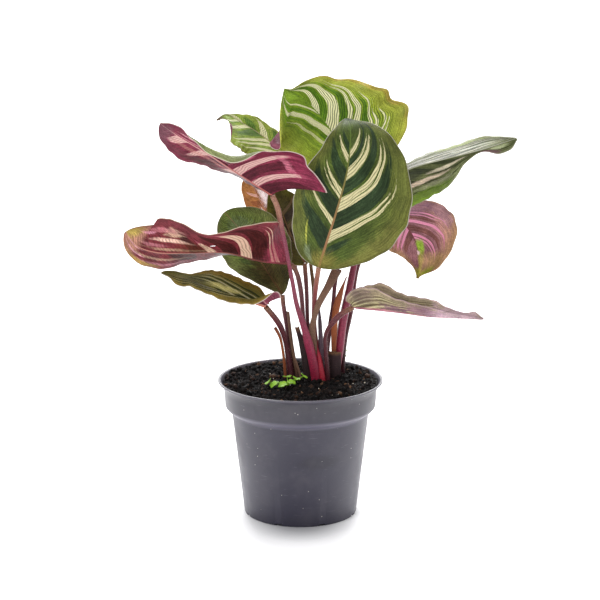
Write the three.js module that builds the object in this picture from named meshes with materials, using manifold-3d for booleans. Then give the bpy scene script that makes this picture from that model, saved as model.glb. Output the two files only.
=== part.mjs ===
// Potted calathea: a prayer plant with striped, folding leaves in a small nursery pot.
// Millimetres, +Z up. The origin is the centre of the pot's underside and -Y is the
// side that the two purple undersides and the large striped leaf look towards.

import * as THREE from 'three';
import { mergeVertices } from 'three/addons/utils/BufferGeometryUtils.js';
import Module from 'manifold-3d';

const wasm = await Module();
wasm.setup();

// ---------------------------------------------------------------- driving dimensions

const GAP = 0.35;               // clearance between pieces that touch on the real plant
const FINEST_EDGE = 0.03;       // shorter edges left by a cut are closed up
const POT_HEIGHT = 100;
const POT_WALL = 1.1;
const LIP_RADIUS = 60;
const BAND_RADIUS = 55.7;       // upright band below the lip
const BAND_TOP = 93;
const BAND_BOTTOM = 81;
const SHOULDER_RADIUS = 50;     // top of the tapering body
const SHOULDER_HEIGHT = 76.5;
const FOOT_RADIUS = 41.2;
const FOOT_RING_WIDTH = 5;
const FOOT_RECESS = 1.5;        // how far the underside is lifted between ring and pad
const PAD_RADIUS = 11;          // flat spot in the middle of the underside
const POT_SEGMENTS = 48;
const DRAIN_HOLES = 6;
const DRAIN_RADIUS = 3;
const DRAIN_SIDES = 12;
const DRAIN_CIRCLE = 23;
const FOOT_NOTCHES = 8;
const FOOT_NOTCH_WIDTH = 5;

const SOIL_TOP = 99.2;
const SOIL_EDGE_TOP = 98.2;
const SOIL_BUMP = 0.9;
const SOIL_RINGS = 8;
const SOIL_SEGMENTS = 36;
const STEM_BOTTOM = 92;         // height at which the stems end, down in the soil

const BLADE_THICKNESS = 0.7;
const MIDRIB_DEPTH = 0.9;       // extra depth of the rib under the middle of a blade
const RIB_TAPER = 0.8;          // share of the rib's depth that is gone at the tip
const NARROWEST = 0.5;          // half width at the ends of a blade
const BLADE_ROWS = 16;
const HALF_COLUMNS = 4;
const CURL_STEPS = 12;          // steps in which a curled half is rolled up
const WAVE_REACH = 0.6;         // waves are full where a half is wider than this share of its widest
const SLOPE_STEP = 0.004;       // step in the surface parameters for its slopes
const SEAT_GAP = 0.6;           // from the end of a stalk to the middle of its blade's base
const STALK_SIDES = 7;
const STALK_STEPS = 10;
const SEEDLING_LOBES = 5;
const SEEDLING_NOTCH = 0.68;    // radius between two lobes, as a share of the leaf's
const SEEDLING_SIDES = 5;
const SEEDLING_RISE = 16;       // the larger, the flatter its leaves lie
const SEEDLING_STALK_RADIUS = 0.45;
const SEEDLING_ROOT_DEPTH = 7;

// ---------------------------------------------------------------- small helpers

const toRadians = THREE.MathUtils.degToRad;
const vector = (point) => new THREE.Vector3(...point);

/** Value at fraction u of a list of equally spaced values, with smooth joins. */
function along(values, u) {
  const place = THREE.MathUtils.clamp(u, 0, 1) * (values.length - 1);
  const index = Math.min(Math.floor(place), values.length - 2);
  const step = place - index;
  const blend = step * step * (3 - 2 * step);
  return values[index] + (values[index + 1] - values[index]) * blend;
}

/** Indexed geometry of a point list and triangles. */
function geometryOf(points, triangles) {
  const geometry = new THREE.BufferGeometry();
  geometry.setAttribute('position', new THREE.Float32BufferAttribute(points.flat(), 3));
  geometry.setIndex(triangles.flat());
  return geometry;
}

/** Manifold solid of a closed geometry. */
function solidOf(geometry) {
  const bare = geometry.clone();
  bare.deleteAttribute('normal');
  bare.deleteAttribute('uv');
  const welded = mergeVertices(bare, 1e-4);
  return new wasm.Manifold(new wasm.Mesh({
    numProp: 3,
    vertProperties: Float32Array.from(welded.attributes.position.array),
    triVerts: Uint32Array.from(welded.index.array),
  }));
}

/** Geometry of a manifold solid, without edges too short to matter. */
function geometryFrom(solid) {
  const mesh = solid.simplify(FINEST_EDGE).getMesh();
  const geometry = new THREE.BufferGeometry();
  geometry.setAttribute('position', new THREE.BufferAttribute(mesh.vertProperties, 3));
  geometry.setIndex(new THREE.BufferAttribute(mesh.triVerts, 1));
  return geometry;
}

/** The largest of the separate bodies of a solid. */
function largestBody(solid) {
  return solid.decompose().reduce((best, body) => (body.volume() > best.volume() ? body : best));
}

// ---------------------------------------------------------------- finishes

const finish = (color, roughness) => (
  new THREE.MeshStandardMaterial({ color, roughness, metalness: 0 })
);

const FINISHES = {
  pot: () => finish(0x5a5862, 0.5),
  soil: () => finish(0x1d1512, 0.95),
  darkGreen: () => finish(0x4b6b34, 0.4),
  brightGreen: () => finish(0x84a24a, 0.42),
  oliveGreen: () => finish(0x7d7c40, 0.45),
  maroon: () => finish(0x8a3350, 0.5),
  copper: () => finish(0x9a5c3a, 0.5),
  greyGreen: () => finish(0x7c6f5c, 0.5),
  pinkStem: () => finish(0xa84e63, 0.45),
  maroonStem: () => finish(0x6e2a38, 0.45),
  greenStem: () => finish(0x8f8a4c, 0.45),
  driedSheath: () => finish(0x8a5232, 0.7),
  darkSheath: () => finish(0x40262a, 0.6),
  spearLeaf: () => finish(0x54424e, 0.5),
  seedling: () => finish(0x8cc63a, 0.5),
};

// ---------------------------------------------------------------- pot and soil

/** Outer half profile of the pot, from the middle of the underside up to the lip. */
function potOutside() {
  const ringInner = FOOT_RADIUS - FOOT_RING_WIDTH;
  return [
    [0, 0], [PAD_RADIUS, 0], [PAD_RADIUS + 1, FOOT_RECESS],
    [ringInner - 1, FOOT_RECESS], [ringInner, 0],
    [FOOT_RADIUS - 1, 0], [FOOT_RADIUS, 1],
    [SHOULDER_RADIUS, SHOULDER_HEIGHT],
    [BAND_RADIUS - 2.2, BAND_BOTTOM - 1.9], [BAND_RADIUS - 1.1, BAND_BOTTOM - 0.6],
    [BAND_RADIUS - 0.8, BAND_BOTTOM + 0.8],
    [BAND_RADIUS, BAND_TOP], [BAND_RADIUS + 1.1, BAND_TOP + 3],
    [LIP_RADIUS - 1.4, POT_HEIGHT - 1.7], [LIP_RADIUS, POT_HEIGHT - 0.9],
    [LIP_RADIUS, POT_HEIGHT - 0.2], [LIP_RADIUS - 0.5, POT_HEIGHT],
  ];
}

/** Inner half profile of the pot, from the lip down to the middle of the floor. */
function potInside() {
  return [
    [LIP_RADIUS - 2.2, POT_HEIGHT - 0.4], [BAND_RADIUS - 0.1, BAND_TOP + 3],
    [BAND_RADIUS - POT_WALL, BAND_TOP - 0.4],
    [BAND_RADIUS - 0.8 - POT_WALL, BAND_BOTTOM + 1], [SHOULDER_RADIUS - POT_WALL, SHOULDER_HEIGHT + 1],
    [FOOT_RADIUS - POT_WALL, FOOT_RECESS + POT_WALL + 1],
    [FOOT_RADIUS - POT_WALL - 1, FOOT_RECESS + POT_WALL], [0, FOOT_RECESS + POT_WALL],
  ];
}

/** Surface of revolution about Z of a closed half profile. */
function turned(profile, segments) {
  const points = profile.map(([r, z]) => new THREE.Vector2(r, z));
  return new THREE.LatheGeometry(points, segments).rotateX(Math.PI / 2);
}

/** Pot: a turned shell with drain holes in its floor and notches in its foot ring. */
function potGeometry() {
  let shell = solidOf(turned([...potOutside(), ...potInside()], POT_SEGMENTS));
  for (let i = 0; i < DRAIN_HOLES; i += 1) {
    const angle = (2 * Math.PI * (i + 0.5)) / DRAIN_HOLES;
    const hole = new THREE.CylinderGeometry(DRAIN_RADIUS, DRAIN_RADIUS, 8, DRAIN_SIDES);
    hole.rotateX(Math.PI / 2);
    hole.translate(DRAIN_CIRCLE * Math.cos(angle), DRAIN_CIRCLE * Math.sin(angle), 2);
    shell = shell.subtract(solidOf(hole));
  }
  for (let i = 0; i < FOOT_NOTCHES; i += 1) {
    const notch = new THREE.BoxGeometry(FOOT_RING_WIDTH + 4, FOOT_NOTCH_WIDTH, 2 * FOOT_RECESS);
    notch.translate(FOOT_RADIUS - FOOT_RING_WIDTH / 2 + 0.5, 0, 0);
    notch.rotateZ((2 * Math.PI * (i + 0.5)) / FOOT_NOTCHES);
    shell = shell.subtract(solidOf(notch));
  }
  return geometryFrom(shell);
}

/** Height of the crumbly soil surface. */
function soilHeight(x, y) {
  const edge = Math.min(1, Math.hypot(x, y) / (LIP_RADIUS - 3));
  const base = SOIL_TOP + (SOIL_EDGE_TOP - SOIL_TOP) * edge ** 6;
  const swell = Math.sin(x * 0.21 + 1.3) * Math.cos(y * 0.19 - 0.4);
  const lumps = Math.sin(x * 0.63 + y * 0.31) * Math.sin(y * 0.71 - x * 0.23 + 2.1);
  return base + SOIL_BUMP * (0.7 * swell + 0.8 * lumps);
}

/** Soil: fills the pot up to a bumpy surface; the stems stand in holes cut through it. */
function soilGeometry(stems) {
  const floor = FOOT_RECESS + POT_WALL + GAP;
  const shoulder = SHOULDER_HEIGHT + 0.6;
  const topRadius = LIP_RADIUS - 3.4 - GAP;
  const sideRings = [
    [FOOT_RADIUS - POT_WALL - 1.1 - GAP, floor],
    [SHOULDER_RADIUS - POT_WALL - GAP - 0.3, shoulder],
    [BAND_RADIUS - POT_WALL - 0.9 - GAP, BAND_BOTTOM + 1.6],
    [BAND_RADIUS - POT_WALL - 0.2 - GAP, BAND_TOP - 0.4],
    [BAND_RADIUS - 0.3 - GAP, BAND_TOP + 3],
  ];
  const points = [[0, 0, floor]];
  const triangles = [];
  const addRing = (radius, heightAt) => {
    for (let i = 0; i < SOIL_SEGMENTS; i += 1) {
      const angle = (2 * Math.PI * i) / SOIL_SEGMENTS;
      const x = radius * Math.cos(angle);
      const y = radius * Math.sin(angle);
      points.push([x, y, heightAt(x, y)]);
    }
  };
  sideRings.forEach(([radius, z]) => addRing(radius, () => z));
  for (let ring = SOIL_RINGS; ring > 0; ring -= 1) {
    addRing((topRadius * ring) / SOIL_RINGS, soilHeight);
  }
  points.push([0, 0, soilHeight(0, 0)]);
  const rings = sideRings.length + SOIL_RINGS;
  const at = (ring, i) => 1 + ring * SOIL_SEGMENTS + (i % SOIL_SEGMENTS);
  for (let i = 0; i < SOIL_SEGMENTS; i += 1) {
    triangles.push([0, at(0, i + 1), at(0, i)]);
    for (let ring = 0; ring < rings - 1; ring += 1) {
      triangles.push([at(ring, i), at(ring, i + 1), at(ring + 1, i + 1)]);
      triangles.push([at(ring, i), at(ring + 1, i + 1), at(ring + 1, i)]);
    }
    triangles.push([at(rings - 1, i), at(rings - 1, i + 1), points.length - 1]);
  }
  const holes = stems.reduce((body, stem) => body.add(stem));
  return geometryFrom(largestBody(solidOf(geometryOf(points, triangles)).subtract(holes)));
}

// ---------------------------------------------------------------- leaf blades

/**
 * Each blade has:
 *   spine   points of the midrib from the base to the tip
 *   face    directions that the upper side looks, base to tip
 *   left, right   the two halves, seen from above with the tip ahead:
 *     widths  half widths, base to tip, closer together toward both ends
 *     lobe    how far the rounded base reaches back past the stalk, if it does
 *     fold    degrees that the half stands above the flat at the midrib, base to tip
 *     curl    degrees that it turns on between midrib and margin, base to tip, if it does
 *     wave    height, number and phase of the waves in the margin
 */
const BLADES = {
  blade_a_large_front: {
    finish: 'darkGreen',
    spine: [
      [13, -17, 187], [20, -22, 211], [26, -24, 231], [33, -25, 259],
      [35, -20, 278], [35, -11, 287], [33, 3, 291],
    ],
    face: [[0, -1, 0.2], [0, -1, 0.2], [0, -0.4, 1]],
    left: { widths: [1, 17, 29, 33, 19, 7, 1], fold: [15, 15, 10], curl: [10, 0, -20], wave: [1, 2, 0] },
    right: {
      widths: [1, 20, 43, 51, 35, 8, 1],
      fold: [12, 12, 10], curl: [0, 0, -20], wave: [1.2, 2, 0.5],
    },
  },
  blade_b_tall_back: {
    finish: 'brightGreen',
    spine: [[47, 18, 232], [35, 27, 257], [22, 34, 277], [10, 39, 292], [-1, 41, 301], [-12, 40, 306]],
    face: [[-0.2, -1, 0.5], [0, -1, 0.7], [0, -0.7, 0.8]],
    left: { widths: [1, 16, 30, 41, 44, 54, 3], fold: [10, 10, 5], wave: [1.5, 2.5, 0] },
    right: {
      widths: [1, 4, 12, 24, 40, 56, 52, 46, 34, 21, 5, 2, 2],
      fold: [5, 5, 5], curl: [0, 0, -10], wave: [2.2, 3.5, 0.2],
    },
  },
  blade_c_small_back: {
    finish: 'brightGreen',
    spine: [
      [-6, 40, 246], [-16, 48, 260], [-27, 54, 269],
      [-41, 56, 278], [-55, 54, 285], [-61, 50, 282],
    ],
    face: [[0.3, -0.6, 0.9], [0.3, -0.4, 1]],
    left: {
      widths: [1, 6, 12, 18, 24, 28, 32, 34, 36, 29, 5, 1, 1], fold: [5, 5, 5], wave: [0.6, 2, 0],
    },
    right: {
      widths: [1, 4, 8, 12, 13, 11, 11, 12, 7, 2, 1, 1, 1], fold: [20, 20, 20], wave: [0.6, 2, 0.5],
    },
  },
  blade_d_purple_upper: {
    finish: 'maroon',
    spine: [
      [-20, -30, 242], [-32, -35, 251], [-49, -39, 263],
      [-66, -42, 275], [-82, -44, 285], [-97, -42, 295],
    ],
    face: [[0, 0.9, 0.5], [0, 0.8, 0.6], [0.2, 0.8, 0.6]],
    left: {
      widths: [27, 29, 32, 36, 43, 33, 18, 12, 10, 9, 6, 2, 1], lobe: 28,
      fold: [0, 0], curl: [0, 0, -10, -25, -130, -165, -90, 0, 0], wave: [0.6, 2, 0],
    },
    right: { widths: [6, 12, 15, 16, 19, 13, 1], lobe: 6, fold: [55, 45, 20, 0, -10], wave: [0.8, 2, 0.5] },
  },
  blade_e_purple_middle: {
    finish: 'maroon',
    spine: [
      [-7, -5, 187], [-27, -14, 191], [-53, -26, 200], [-79, -36, 202],
      [-101, -43, 204], [-114, -45, 209], [-122, -45, 219],
    ],
    face: [[0, 0.95, 0.3], [0, 0.95, 0.3]],
    left: { widths: [3, 26, 38, 19, 28, 21, 1], lobe: -9, fold: [10, -10, -20, 0, 0], wave: [0.8, 2.5, 0] },
    right: { widths: [4, 12, 18, 17, 19, 8, 1], lobe: 2, fold: [60, 55, 40, 20, 0], wave: [1, 2.5, 0.5] },
  },
  blade_f_boat_lower: {
    finish: 'oliveGreen',
    spine: [
      [-25, -16, 158], [-38, -22, 164], [-56, -30, 172],
      [-73, -36, 180], [-86, -39, 186], [-98, -40, 188],
    ],
    face: [[0, -0.3, 1], [0, -0.3, 1]],
    left: {
      widths: [10, 12, 14, 15, 15, 16, 16, 11, 9, 16, 6, 2, 1], lobe: 8,
      fold: [95, 30, 25, 20, 20], curl: [0, -80, -60], wave: [0.6, 2.5, 0],
    },
    right: {
      widths: [4, 20, 20, 21, 6, 4, 1], lobe: 4,
      fold: [15, 15, 10], curl: [10, 10, 20], wave: [1, 2.5, 0.5],
    },
  },
  blade_g_round_middle: {
    finish: 'darkGreen',
    spine: [[-13, 5, 162], [-26, 9, 181], [-40, 14, 203], [-55, 19, 220]],
    face: [[-0.3, -0.8, 0.6], [-0.3, -0.6, 0.8]],
    left: { widths: [1, 4, 12, 22, 21, 12, 1], fold: [12, 12, 12], wave: [1, 2, 0] },
    right: { widths: [1, 9, 21, 28, 23, 11, 1], fold: [12, 12, 12], wave: [1, 2, 0.5] },
  },
  blade_h_copper_back: {
    finish: 'copper',
    spine: [[-12, 42, 195], [-24, 48, 213], [-33, 52, 229], [-38, 52, 240]],
    face: [[0, 1, 0.3], [0, 0.9, 0.4]],
    left: { widths: [1, 8, 12, 12, 10, 6, 1], fold: [10, 10], wave: [0.8, 2, 0] },
    right: { widths: [1, 10, 15, 14, 12, 8, 1], fold: [10, 10], wave: [0.8, 2, 0.5] },
  },
  blade_i_olive_back: {
    finish: 'oliveGreen',
    spine: [[3, 12, 184], [-8, 27, 204], [-15, 34, 221], [-20, 36, 234]],
    face: [[0, -0.9, 0.4], [0, -0.8, 0.5]],
    left: { widths: [1, 10, 15, 15, 11, 6, 1], lobe: 2, fold: [10, 10], wave: [0.8, 2, 0] },
    right: { widths: [1, 10, 17, 19, 16, 9, 1], lobe: 2, fold: [10, 10], wave: [0.8, 2, 0.5] },
  },
  blade_j_drooping_right: {
    finish: 'darkGreen',
    spine: [[56, 22, 239], [81, 36, 249], [107, 48, 254], [134, 58, 259], [160, 66, 266]],
    face: [[0, -0.2, 1], [0, -0.3, 1]],
    left: { widths: [1, 10, 16, 24, 25, 8, 1], fold: [-12, -12, 0], wave: [1, 2.5, 0] },
    right: {
      widths: [2, 14, 23, 25, 26, 24, 18, 7, 2, 7, 7, 3, 1],
      fold: [-45, -50, -60, -30], curl: [-10, -10, 0], wave: [0.8, 2.5, 0.5],
    },
  },
  blade_k_purple_right: {
    finish: 'maroon',
    spine: [[69, 34, 217], [79, 40, 204], [86, 42, 190], [88, 40, 178], [86, 34, 167]],
    face: [[0, 1, 0.2], [0, 1, 0.1]],
    left: { widths: [3, 14, 20, 20, 10, 2, 1], lobe: 3, fold: [0, 0], wave: [1.2, 2.5, 0.5] },
    right: { widths: [8, 17, 30, 33, 20, 4, 1], fold: [0, 0], wave: [1.2, 2.5, 0] },
  },
  blade_l_narrow_right: {
    finish: 'greyGreen',
    spine: [
      [38, -14, 157], [53, -24, 158], [72, -34, 158],
      [91, -41, 157], [109, -45, 157], [129, -46, 156],
    ],
    face: [[0, -0.2, 1], [0, -0.2, 1]],
    left: {
      widths: [5, 12, 14, 17, 19, 14, 12, 12, 7, 4, 5, 2, 1], lobe: 2,
      fold: [65, 65, 50], wave: [0.5, 2.5, 0],
    },
    right: {
      widths: [5, 10, 15, 19, 19, 12, 10, 9, 5, 3, 2, 1, 1], lobe: 5,
      fold: [75, 75, 60], wave: [0.6, 2, 0.5],
    },
  },
};

/** Share of a blade's length at row parameter r: rows crowd toward base and tip. */
const spread = (r) => (1 - Math.cos(Math.PI * r)) / 2;

/** Half width at row parameter r: a smooth curve through equally spaced values. */
function halfWidth(widths, r) {
  const place = THREE.MathUtils.clamp(r, 0, 1) * (widths.length - 1);
  const index = Math.min(Math.floor(place), widths.length - 2);
  const step = place - index;
  const last = widths.length - 1;
  const [a, b, c, d] = [-1, 0, 1, 2].map((k) => widths[THREE.MathUtils.clamp(index + k, 0, last)]);
  const slopes = [(c - a) / 2, (d - b) / 2];
  const cube = step ** 3;
  const square = step ** 2;
  const value = b * (2 * cube - 3 * square + 1) + slopes[0] * (cube - 2 * square + step)
    + c * (3 * square - 2 * cube) + slopes[1] * (cube - square);
  return Math.max(value, NARROWEST);
}

/** A function that gives the point of a blade's surface at (r, v), v from -1 to 1. */
function bladeSurface(blade) {
  const curve = new THREE.CatmullRomCurve3(blade.spine.map(vector), false, 'centripetal');
  curve.arcLengthDivisions = 60;
  const length = curve.getLength();
  const faces = blade.face.map((direction) => vector(direction).normalize());
  const frameAt = (distance) => {
    const u = THREE.MathUtils.clamp(distance / length, 0, 1);
    const origin = curve.getPointAt(u);
    const ahead = curve.getTangentAt(u);
    origin.addScaledVector(ahead, Math.min(0, distance));
    const place = Math.min(u * (faces.length - 1), faces.length - 1.0001);
    const up = faces[Math.floor(place)].clone().lerp(faces[Math.floor(place) + 1], place % 1);
    up.addScaledVector(ahead, -up.dot(ahead)).normalize();
    return { origin, up, side: ahead.clone().cross(up) };
  };
  return (r, v) => {
    const u = spread(r);
    const { widths, lobe = 0, fold, curl = [0, 0], wave } = v < 0 ? blade.left : blade.right;
    const sign = v < 0 ? -1 : 1;
    const across = Math.abs(v);
    const sweep = lobe * (1 - u) ** 3;
    const { origin, up, side } = frameAt(u * length - sweep * across ** 2);
    const width = halfWidth(widths, r);
    let out = 0;
    let lift = 0;
    for (let i = 0; i < CURL_STEPS; i += 1) {
      const middle = (across * (i + 0.5)) / CURL_STEPS;
      const angle = toRadians(along(fold, u) + along(curl, u) * middle ** 2);
      out += (Math.cos(angle) * width * across) / CURL_STEPS;
      lift += (Math.sin(angle) * width * across) / CURL_STEPS;
    }
    const [height, count, phase] = wave;
    const envelope = Math.min(1, width / (WAVE_REACH * Math.max(...widths)));
    lift += height * envelope * across ** 2 * Math.sin(2 * Math.PI * (count * u + phase));
    return origin.addScaledVector(side, sign * out).addScaledVector(up, lift);
  };
}

/** Solid of a blade: the surface thickened both ways, with a rib under its middle. */
function bladeGeometry(blade) {
  const surface = bladeSurface(blade);
  const columns = 2 * HALF_COLUMNS;
  const small = SLOPE_STEP;
  const upper = [];
  const lower = [];
  for (let row = 0; row <= BLADE_ROWS; row += 1) {
    const r = row / BLADE_ROWS;
    for (let column = 0; column <= columns; column += 1) {
      const v = (column - HALF_COLUMNS) / HALF_COLUMNS;
      const inner = THREE.MathUtils.clamp(v, -1 + small, 1 - small);
      const middle = THREE.MathUtils.clamp(r, small, 1 - small);
      const lengthwise = surface(middle + small, inner).sub(surface(middle - small, inner));
      const crosswise = surface(middle, inner + small).sub(surface(middle, inner - small));
      const normal = crosswise.cross(lengthwise).normalize();
      const point = surface(r, v);
      const rib = column === HALF_COLUMNS ? MIDRIB_DEPTH * (1 - RIB_TAPER * r) : 0;
      upper.push(point.clone().addScaledVector(normal, BLADE_THICKNESS / 2).toArray());
      lower.push(point.clone().addScaledVector(normal, -BLADE_THICKNESS / 2 - rib).toArray());
    }
  }
  const stride = columns + 1;
  const triangles = [];
  const quad = (a, b, c, d) => triangles.push([a, b, c], [a, c, d]);
  for (let row = 0; row < BLADE_ROWS; row += 1) {
    for (let column = 0; column < columns; column += 1) {
      const a = row * stride + column;
      const corners = [a, a + 1, a + stride + 1, a + stride];
      const under = corners.map((corner) => corner + upper.length);
      quad(corners[0], corners[1], corners[2], corners[3]);
      triangles.push([under[0], under[2], under[1]], [under[0], under[3], under[2]]);
    }
  }
  const rim = [];
  for (let column = 0; column < columns; column += 1) rim.push(column);
  for (let row = 0; row < BLADE_ROWS; row += 1) rim.push(row * stride + columns);
  for (let column = columns; column > 0; column -= 1) rim.push(BLADE_ROWS * stride + column);
  for (let row = BLADE_ROWS; row > 0; row -= 1) rim.push(row * stride);
  rim.forEach((corner, i) => {
    const next = rim[(i + 1) % rim.length];
    quad(corner, corner + upper.length, next + upper.length, next);
  });
  return geometryOf([...upper, ...lower], triangles);
}

// ---------------------------------------------------------------- stalks and sheaths

/**
 * Each stalk has a route from the soil up, half widths along it from root to end, and the
 * blade that it carries. A flattened sheath also has the share of its thickness, front to
 * back. Where stalks wrap each other near the soil, the later one in the list is hollowed
 * to fit the earlier one.
 */
const STALKS = {
  petiole_d: {
    finish: 'pinkStem',
    blade: 'blade_d_purple_upper',
    route: [[11, -3.5, 101], [9, -4, 114], [6, -6, 127], [2, -9, 143], [-2.5, -13, 158], [-6, -18, 178],
      [-10, -24, 201], [-14, -28, 222], [-16.5, -30, 234]],
    radii: [3.4, 3.4, 3.2, 2.3, 1.7, 1.5, 1.4, 1.5, 1.9, 1.8],
    flat: 0.75,
  },
  petiole_a: {
    finish: 'pinkStem',
    blade: 'blade_a_large_front',
    route: [[16, -3, 101], [14, -1, 113], [11.3, 4, 127], [10, 4, 143], [10.2, -2, 159], [11.2, -9, 172]],
    radii: [2.3, 2.2, 1.8, 1.6, 1.6, 1.8, 1.8],
  },
  petiole_l: {
    finish: 'maroonStem',
    blade: 'blade_l_narrow_right',
    route: [[20, -2, 101], [18.5, -3, 121], [18.5, -5, 135], [24, -8, 145], [30.5, -11, 152]],
    radii: [1.6, 1.6, 1.5, 1.5, 2.1, 1.9],
  },
  petiole_e: {
    finish: 'maroonStem',
    blade: 'blade_e_purple_middle',
    route: [[6.3, 5, 99], [4, 4, 121], [2.2, 2, 144], [0, -1, 168], [-3.2, -3, 181]],
    radii: [1.7, 1.6, 1.5, 1.5, 1.8, 1.7],
  },
  petiole_i: {
    finish: 'maroonStem',
    blade: 'blade_i_olive_back',
    route: [[8.5, 9.5, 99], [6.6, 9.5, 119], [5.2, 9, 141], [4.4, 10, 165]],
    radii: [1.6, 1.5, 1.4, 1.5, 1.7],
  },
  petiole_h: {
    finish: 'maroonStem',
    blade: 'blade_h_copper_back',
    route: [[4.5, 11.5, 99], [3, 14, 122], [1.9, 18, 140], [-0.3, 25, 160], [-4.7, 34, 179]],
    radii: [1.5, 1.4, 1.3, 1.3, 1.4, 1.5],
  },
  petiole_c: {
    finish: 'greenStem',
    blade: 'blade_c_small_back',
    route: [[12.5, 10, 99], [9.5, 14.5, 122], [9.6, 18, 143], [9.6, 22, 161], [7.8, 27, 177],
      [3.4, 36, 211]],
    radii: [1.6, 1.5, 1.4, 1.3, 1.3, 1.5],
  },
  petiole_b: {
    finish: 'pinkStem',
    blade: 'blade_b_tall_back',
    route: [[18.5, 7, 100], [19.5, 8, 119], [21.6, 10, 138], [23.7, 12, 152], [25.5, 14, 170],
      [32.4, 17, 200]],
    radii: [2, 1.8, 1.6, 1.5, 1.5, 1.8, 1.9],
  },
  petiole_j: {
    finish: 'maroonStem',
    blade: 'blade_j_drooping_right',
    route: [[26, 13, 102], [28.2, 12, 118], [31, 12, 140], [36, 14, 166], [39, 16, 181], [45, 19, 207]],
    radii: [3.4, 3.4, 3.2, 2.6, 2.2, 1.9, 2],
  },
  petiole_k: {
    finish: 'maroonStem',
    blade: 'blade_k_purple_right',
    route: [[31, 17, 104], [33, 18, 126], [37, 21, 144], [42, 27, 177], [51, 31, 197]],
    radii: [1.8, 1.7, 1.5, 1.4, 1.6, 1.6],
  },
  petiole_f: {
    finish: 'maroonStem',
    blade: 'blade_f_boat_lower',
    route: [[-6.9, 1, 100], [-9.7, 0, 122], [-13.3, -5, 138], [-17, -9, 146]],
    radii: [2.8, 2.3, 1.7, 2.1, 2],
  },
  petiole_g: {
    finish: 'maroonStem',
    blade: 'blade_g_round_middle',
    route: [[-5.4, 7, 101], [-8.3, 6, 124], [-10, 4.8, 139], [-12.3, 4.5, 154]],
    radii: [1.8, 1.7, 1.5, 1.6, 1.7],
  },
  spear_leaf: {
    finish: 'spearLeaf',
    route: [[16, 2, 100], [15, 1.5, 125], [14.2, 1.5, 140], [13.5, 1.5, 156]],
    radii: [1.7, 1.9, 1.9, 1.5, 0.4],
  },
  sheath_brown_leaning: {
    finish: 'driedSheath',
    route: [[10.5, 1, 100], [9, -1.5, 126], [8.4, -4, 138], [12.7, -5, 156], [20.6, -4, 171],
      [26.3, -2, 182]],
    radii: [2, 2.4, 3, 2, 2.6, 3.6],
    flat: 0.35,
  },
  sheath_dark_left: {
    finish: 'darkSheath',
    route: [[5.5, 0.5, 102], [1.5, 0.5, 125], [-2.5, -1.5, 139]],
    radii: [3.2, 2.8, 1.6],
    flat: 0.4,
  },
  stub_brown_left: {
    finish: 'driedSheath',
    route: [[-2.6, 3, 101], [-6, 1, 124], [-7.6, 0.6, 137], [-9, 1, 150]],
    radii: [1.3, 1.3, 1.2, 1.1],
  },
  stub_orange_left: {
    finish: 'driedSheath',
    route: [[-11, -1.5, 102], [-12.8, -3, 122], [-15, -5, 133], [-18.3, -7, 140]],
    radii: [1.1, 1.1, 1, 1.2],
  },
  bract_orange_right: {
    finish: 'driedSheath',
    route: [[25, 6.5, 102], [24.3, 6.5, 123], [25.8, 6, 150], [29.4, 5, 164], [33.3, 5, 175]],
    radii: [1.5, 1.6, 2.2, 2.6, 0.5],
    flat: 0.4,
  },
  sheath_dark_right: {
    finish: 'darkSheath',
    route: [[24.5, 4.5, 100], [25, 4, 119]],
    radii: [5, 4.8],
    flat: 0.3,
  },
  strip_tan_left: {
    finish: 'driedSheath',
    route: [[0, -3, 102], [-3.9, -4, 116], [-6.8, -5, 127]],
    radii: [0.9, 0.8, 0.5],
    flat: 0.6,
  },
};

/** Route of a stalk from its root in the soil to its end just below its blade. */
function stalkRoute(stalk) {
  const points = stalk.route.map(vector);
  points.unshift(new THREE.Vector3(points[0].x, points[0].y, STEM_BOTTOM));
  if (stalk.blade) {
    const seat = vector(BLADES[stalk.blade].spine[0]);
    const back = points.at(-1).clone().sub(seat).setLength(SEAT_GAP);
    points.push(seat.add(back));
  }
  return points;
}

/** Solid of a stalk: rings around a smooth route, closed at both ends. */
function stalkGeometry(stalk, extra = 0) {
  const curve = new THREE.CatmullRomCurve3(stalkRoute(stalk), false, 'centripetal');
  const flat = stalk.flat ?? 1;
  const facing = new THREE.Vector3(0, -1, 0);
  const points = [];
  for (let step = 0; step <= STALK_STEPS; step += 1) {
    const u = step / STALK_STEPS;
    const centre = curve.getPointAt(u);
    const ahead = curve.getTangentAt(u);
    if (step === 0) centre.addScaledVector(ahead, -extra);
    if (step === STALK_STEPS) centre.addScaledVector(ahead, extra);
    const front = facing.clone().addScaledVector(ahead, -facing.dot(ahead)).normalize();
    const side = front.clone().cross(ahead);
    const radius = along(stalk.radii, u);
    for (let i = 0; i < STALK_SIDES; i += 1) {
      const angle = (2 * Math.PI * i) / STALK_SIDES;
      const point = centre.clone();
      point.addScaledVector(side, (radius + extra) * Math.cos(angle));
      point.addScaledVector(front, (radius * flat + extra) * Math.sin(angle));
      points.push(point.toArray());
    }
  }
  const triangles = [];
  const at = (step, i) => step * STALK_SIDES + (i % STALK_SIDES);
  for (let i = 0; i < STALK_SIDES; i += 1) {
    for (let step = 0; step < STALK_STEPS; step += 1) {
      triangles.push([at(step, i), at(step, i + 1), at(step + 1, i + 1)]);
      triangles.push([at(step, i), at(step + 1, i + 1), at(step + 1, i)]);
    }
    if (i > 0 && i < STALK_SIDES - 1) {
      triangles.push([at(0, 0), at(0, i + 1), at(0, i)]);
      triangles.push([at(STALK_STEPS, 0), at(STALK_STEPS, i), at(STALK_STEPS, i + 1)]);
    }
  }
  return geometryOf(points, triangles);
}

// ---------------------------------------------------------------- weed seedlings

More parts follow.
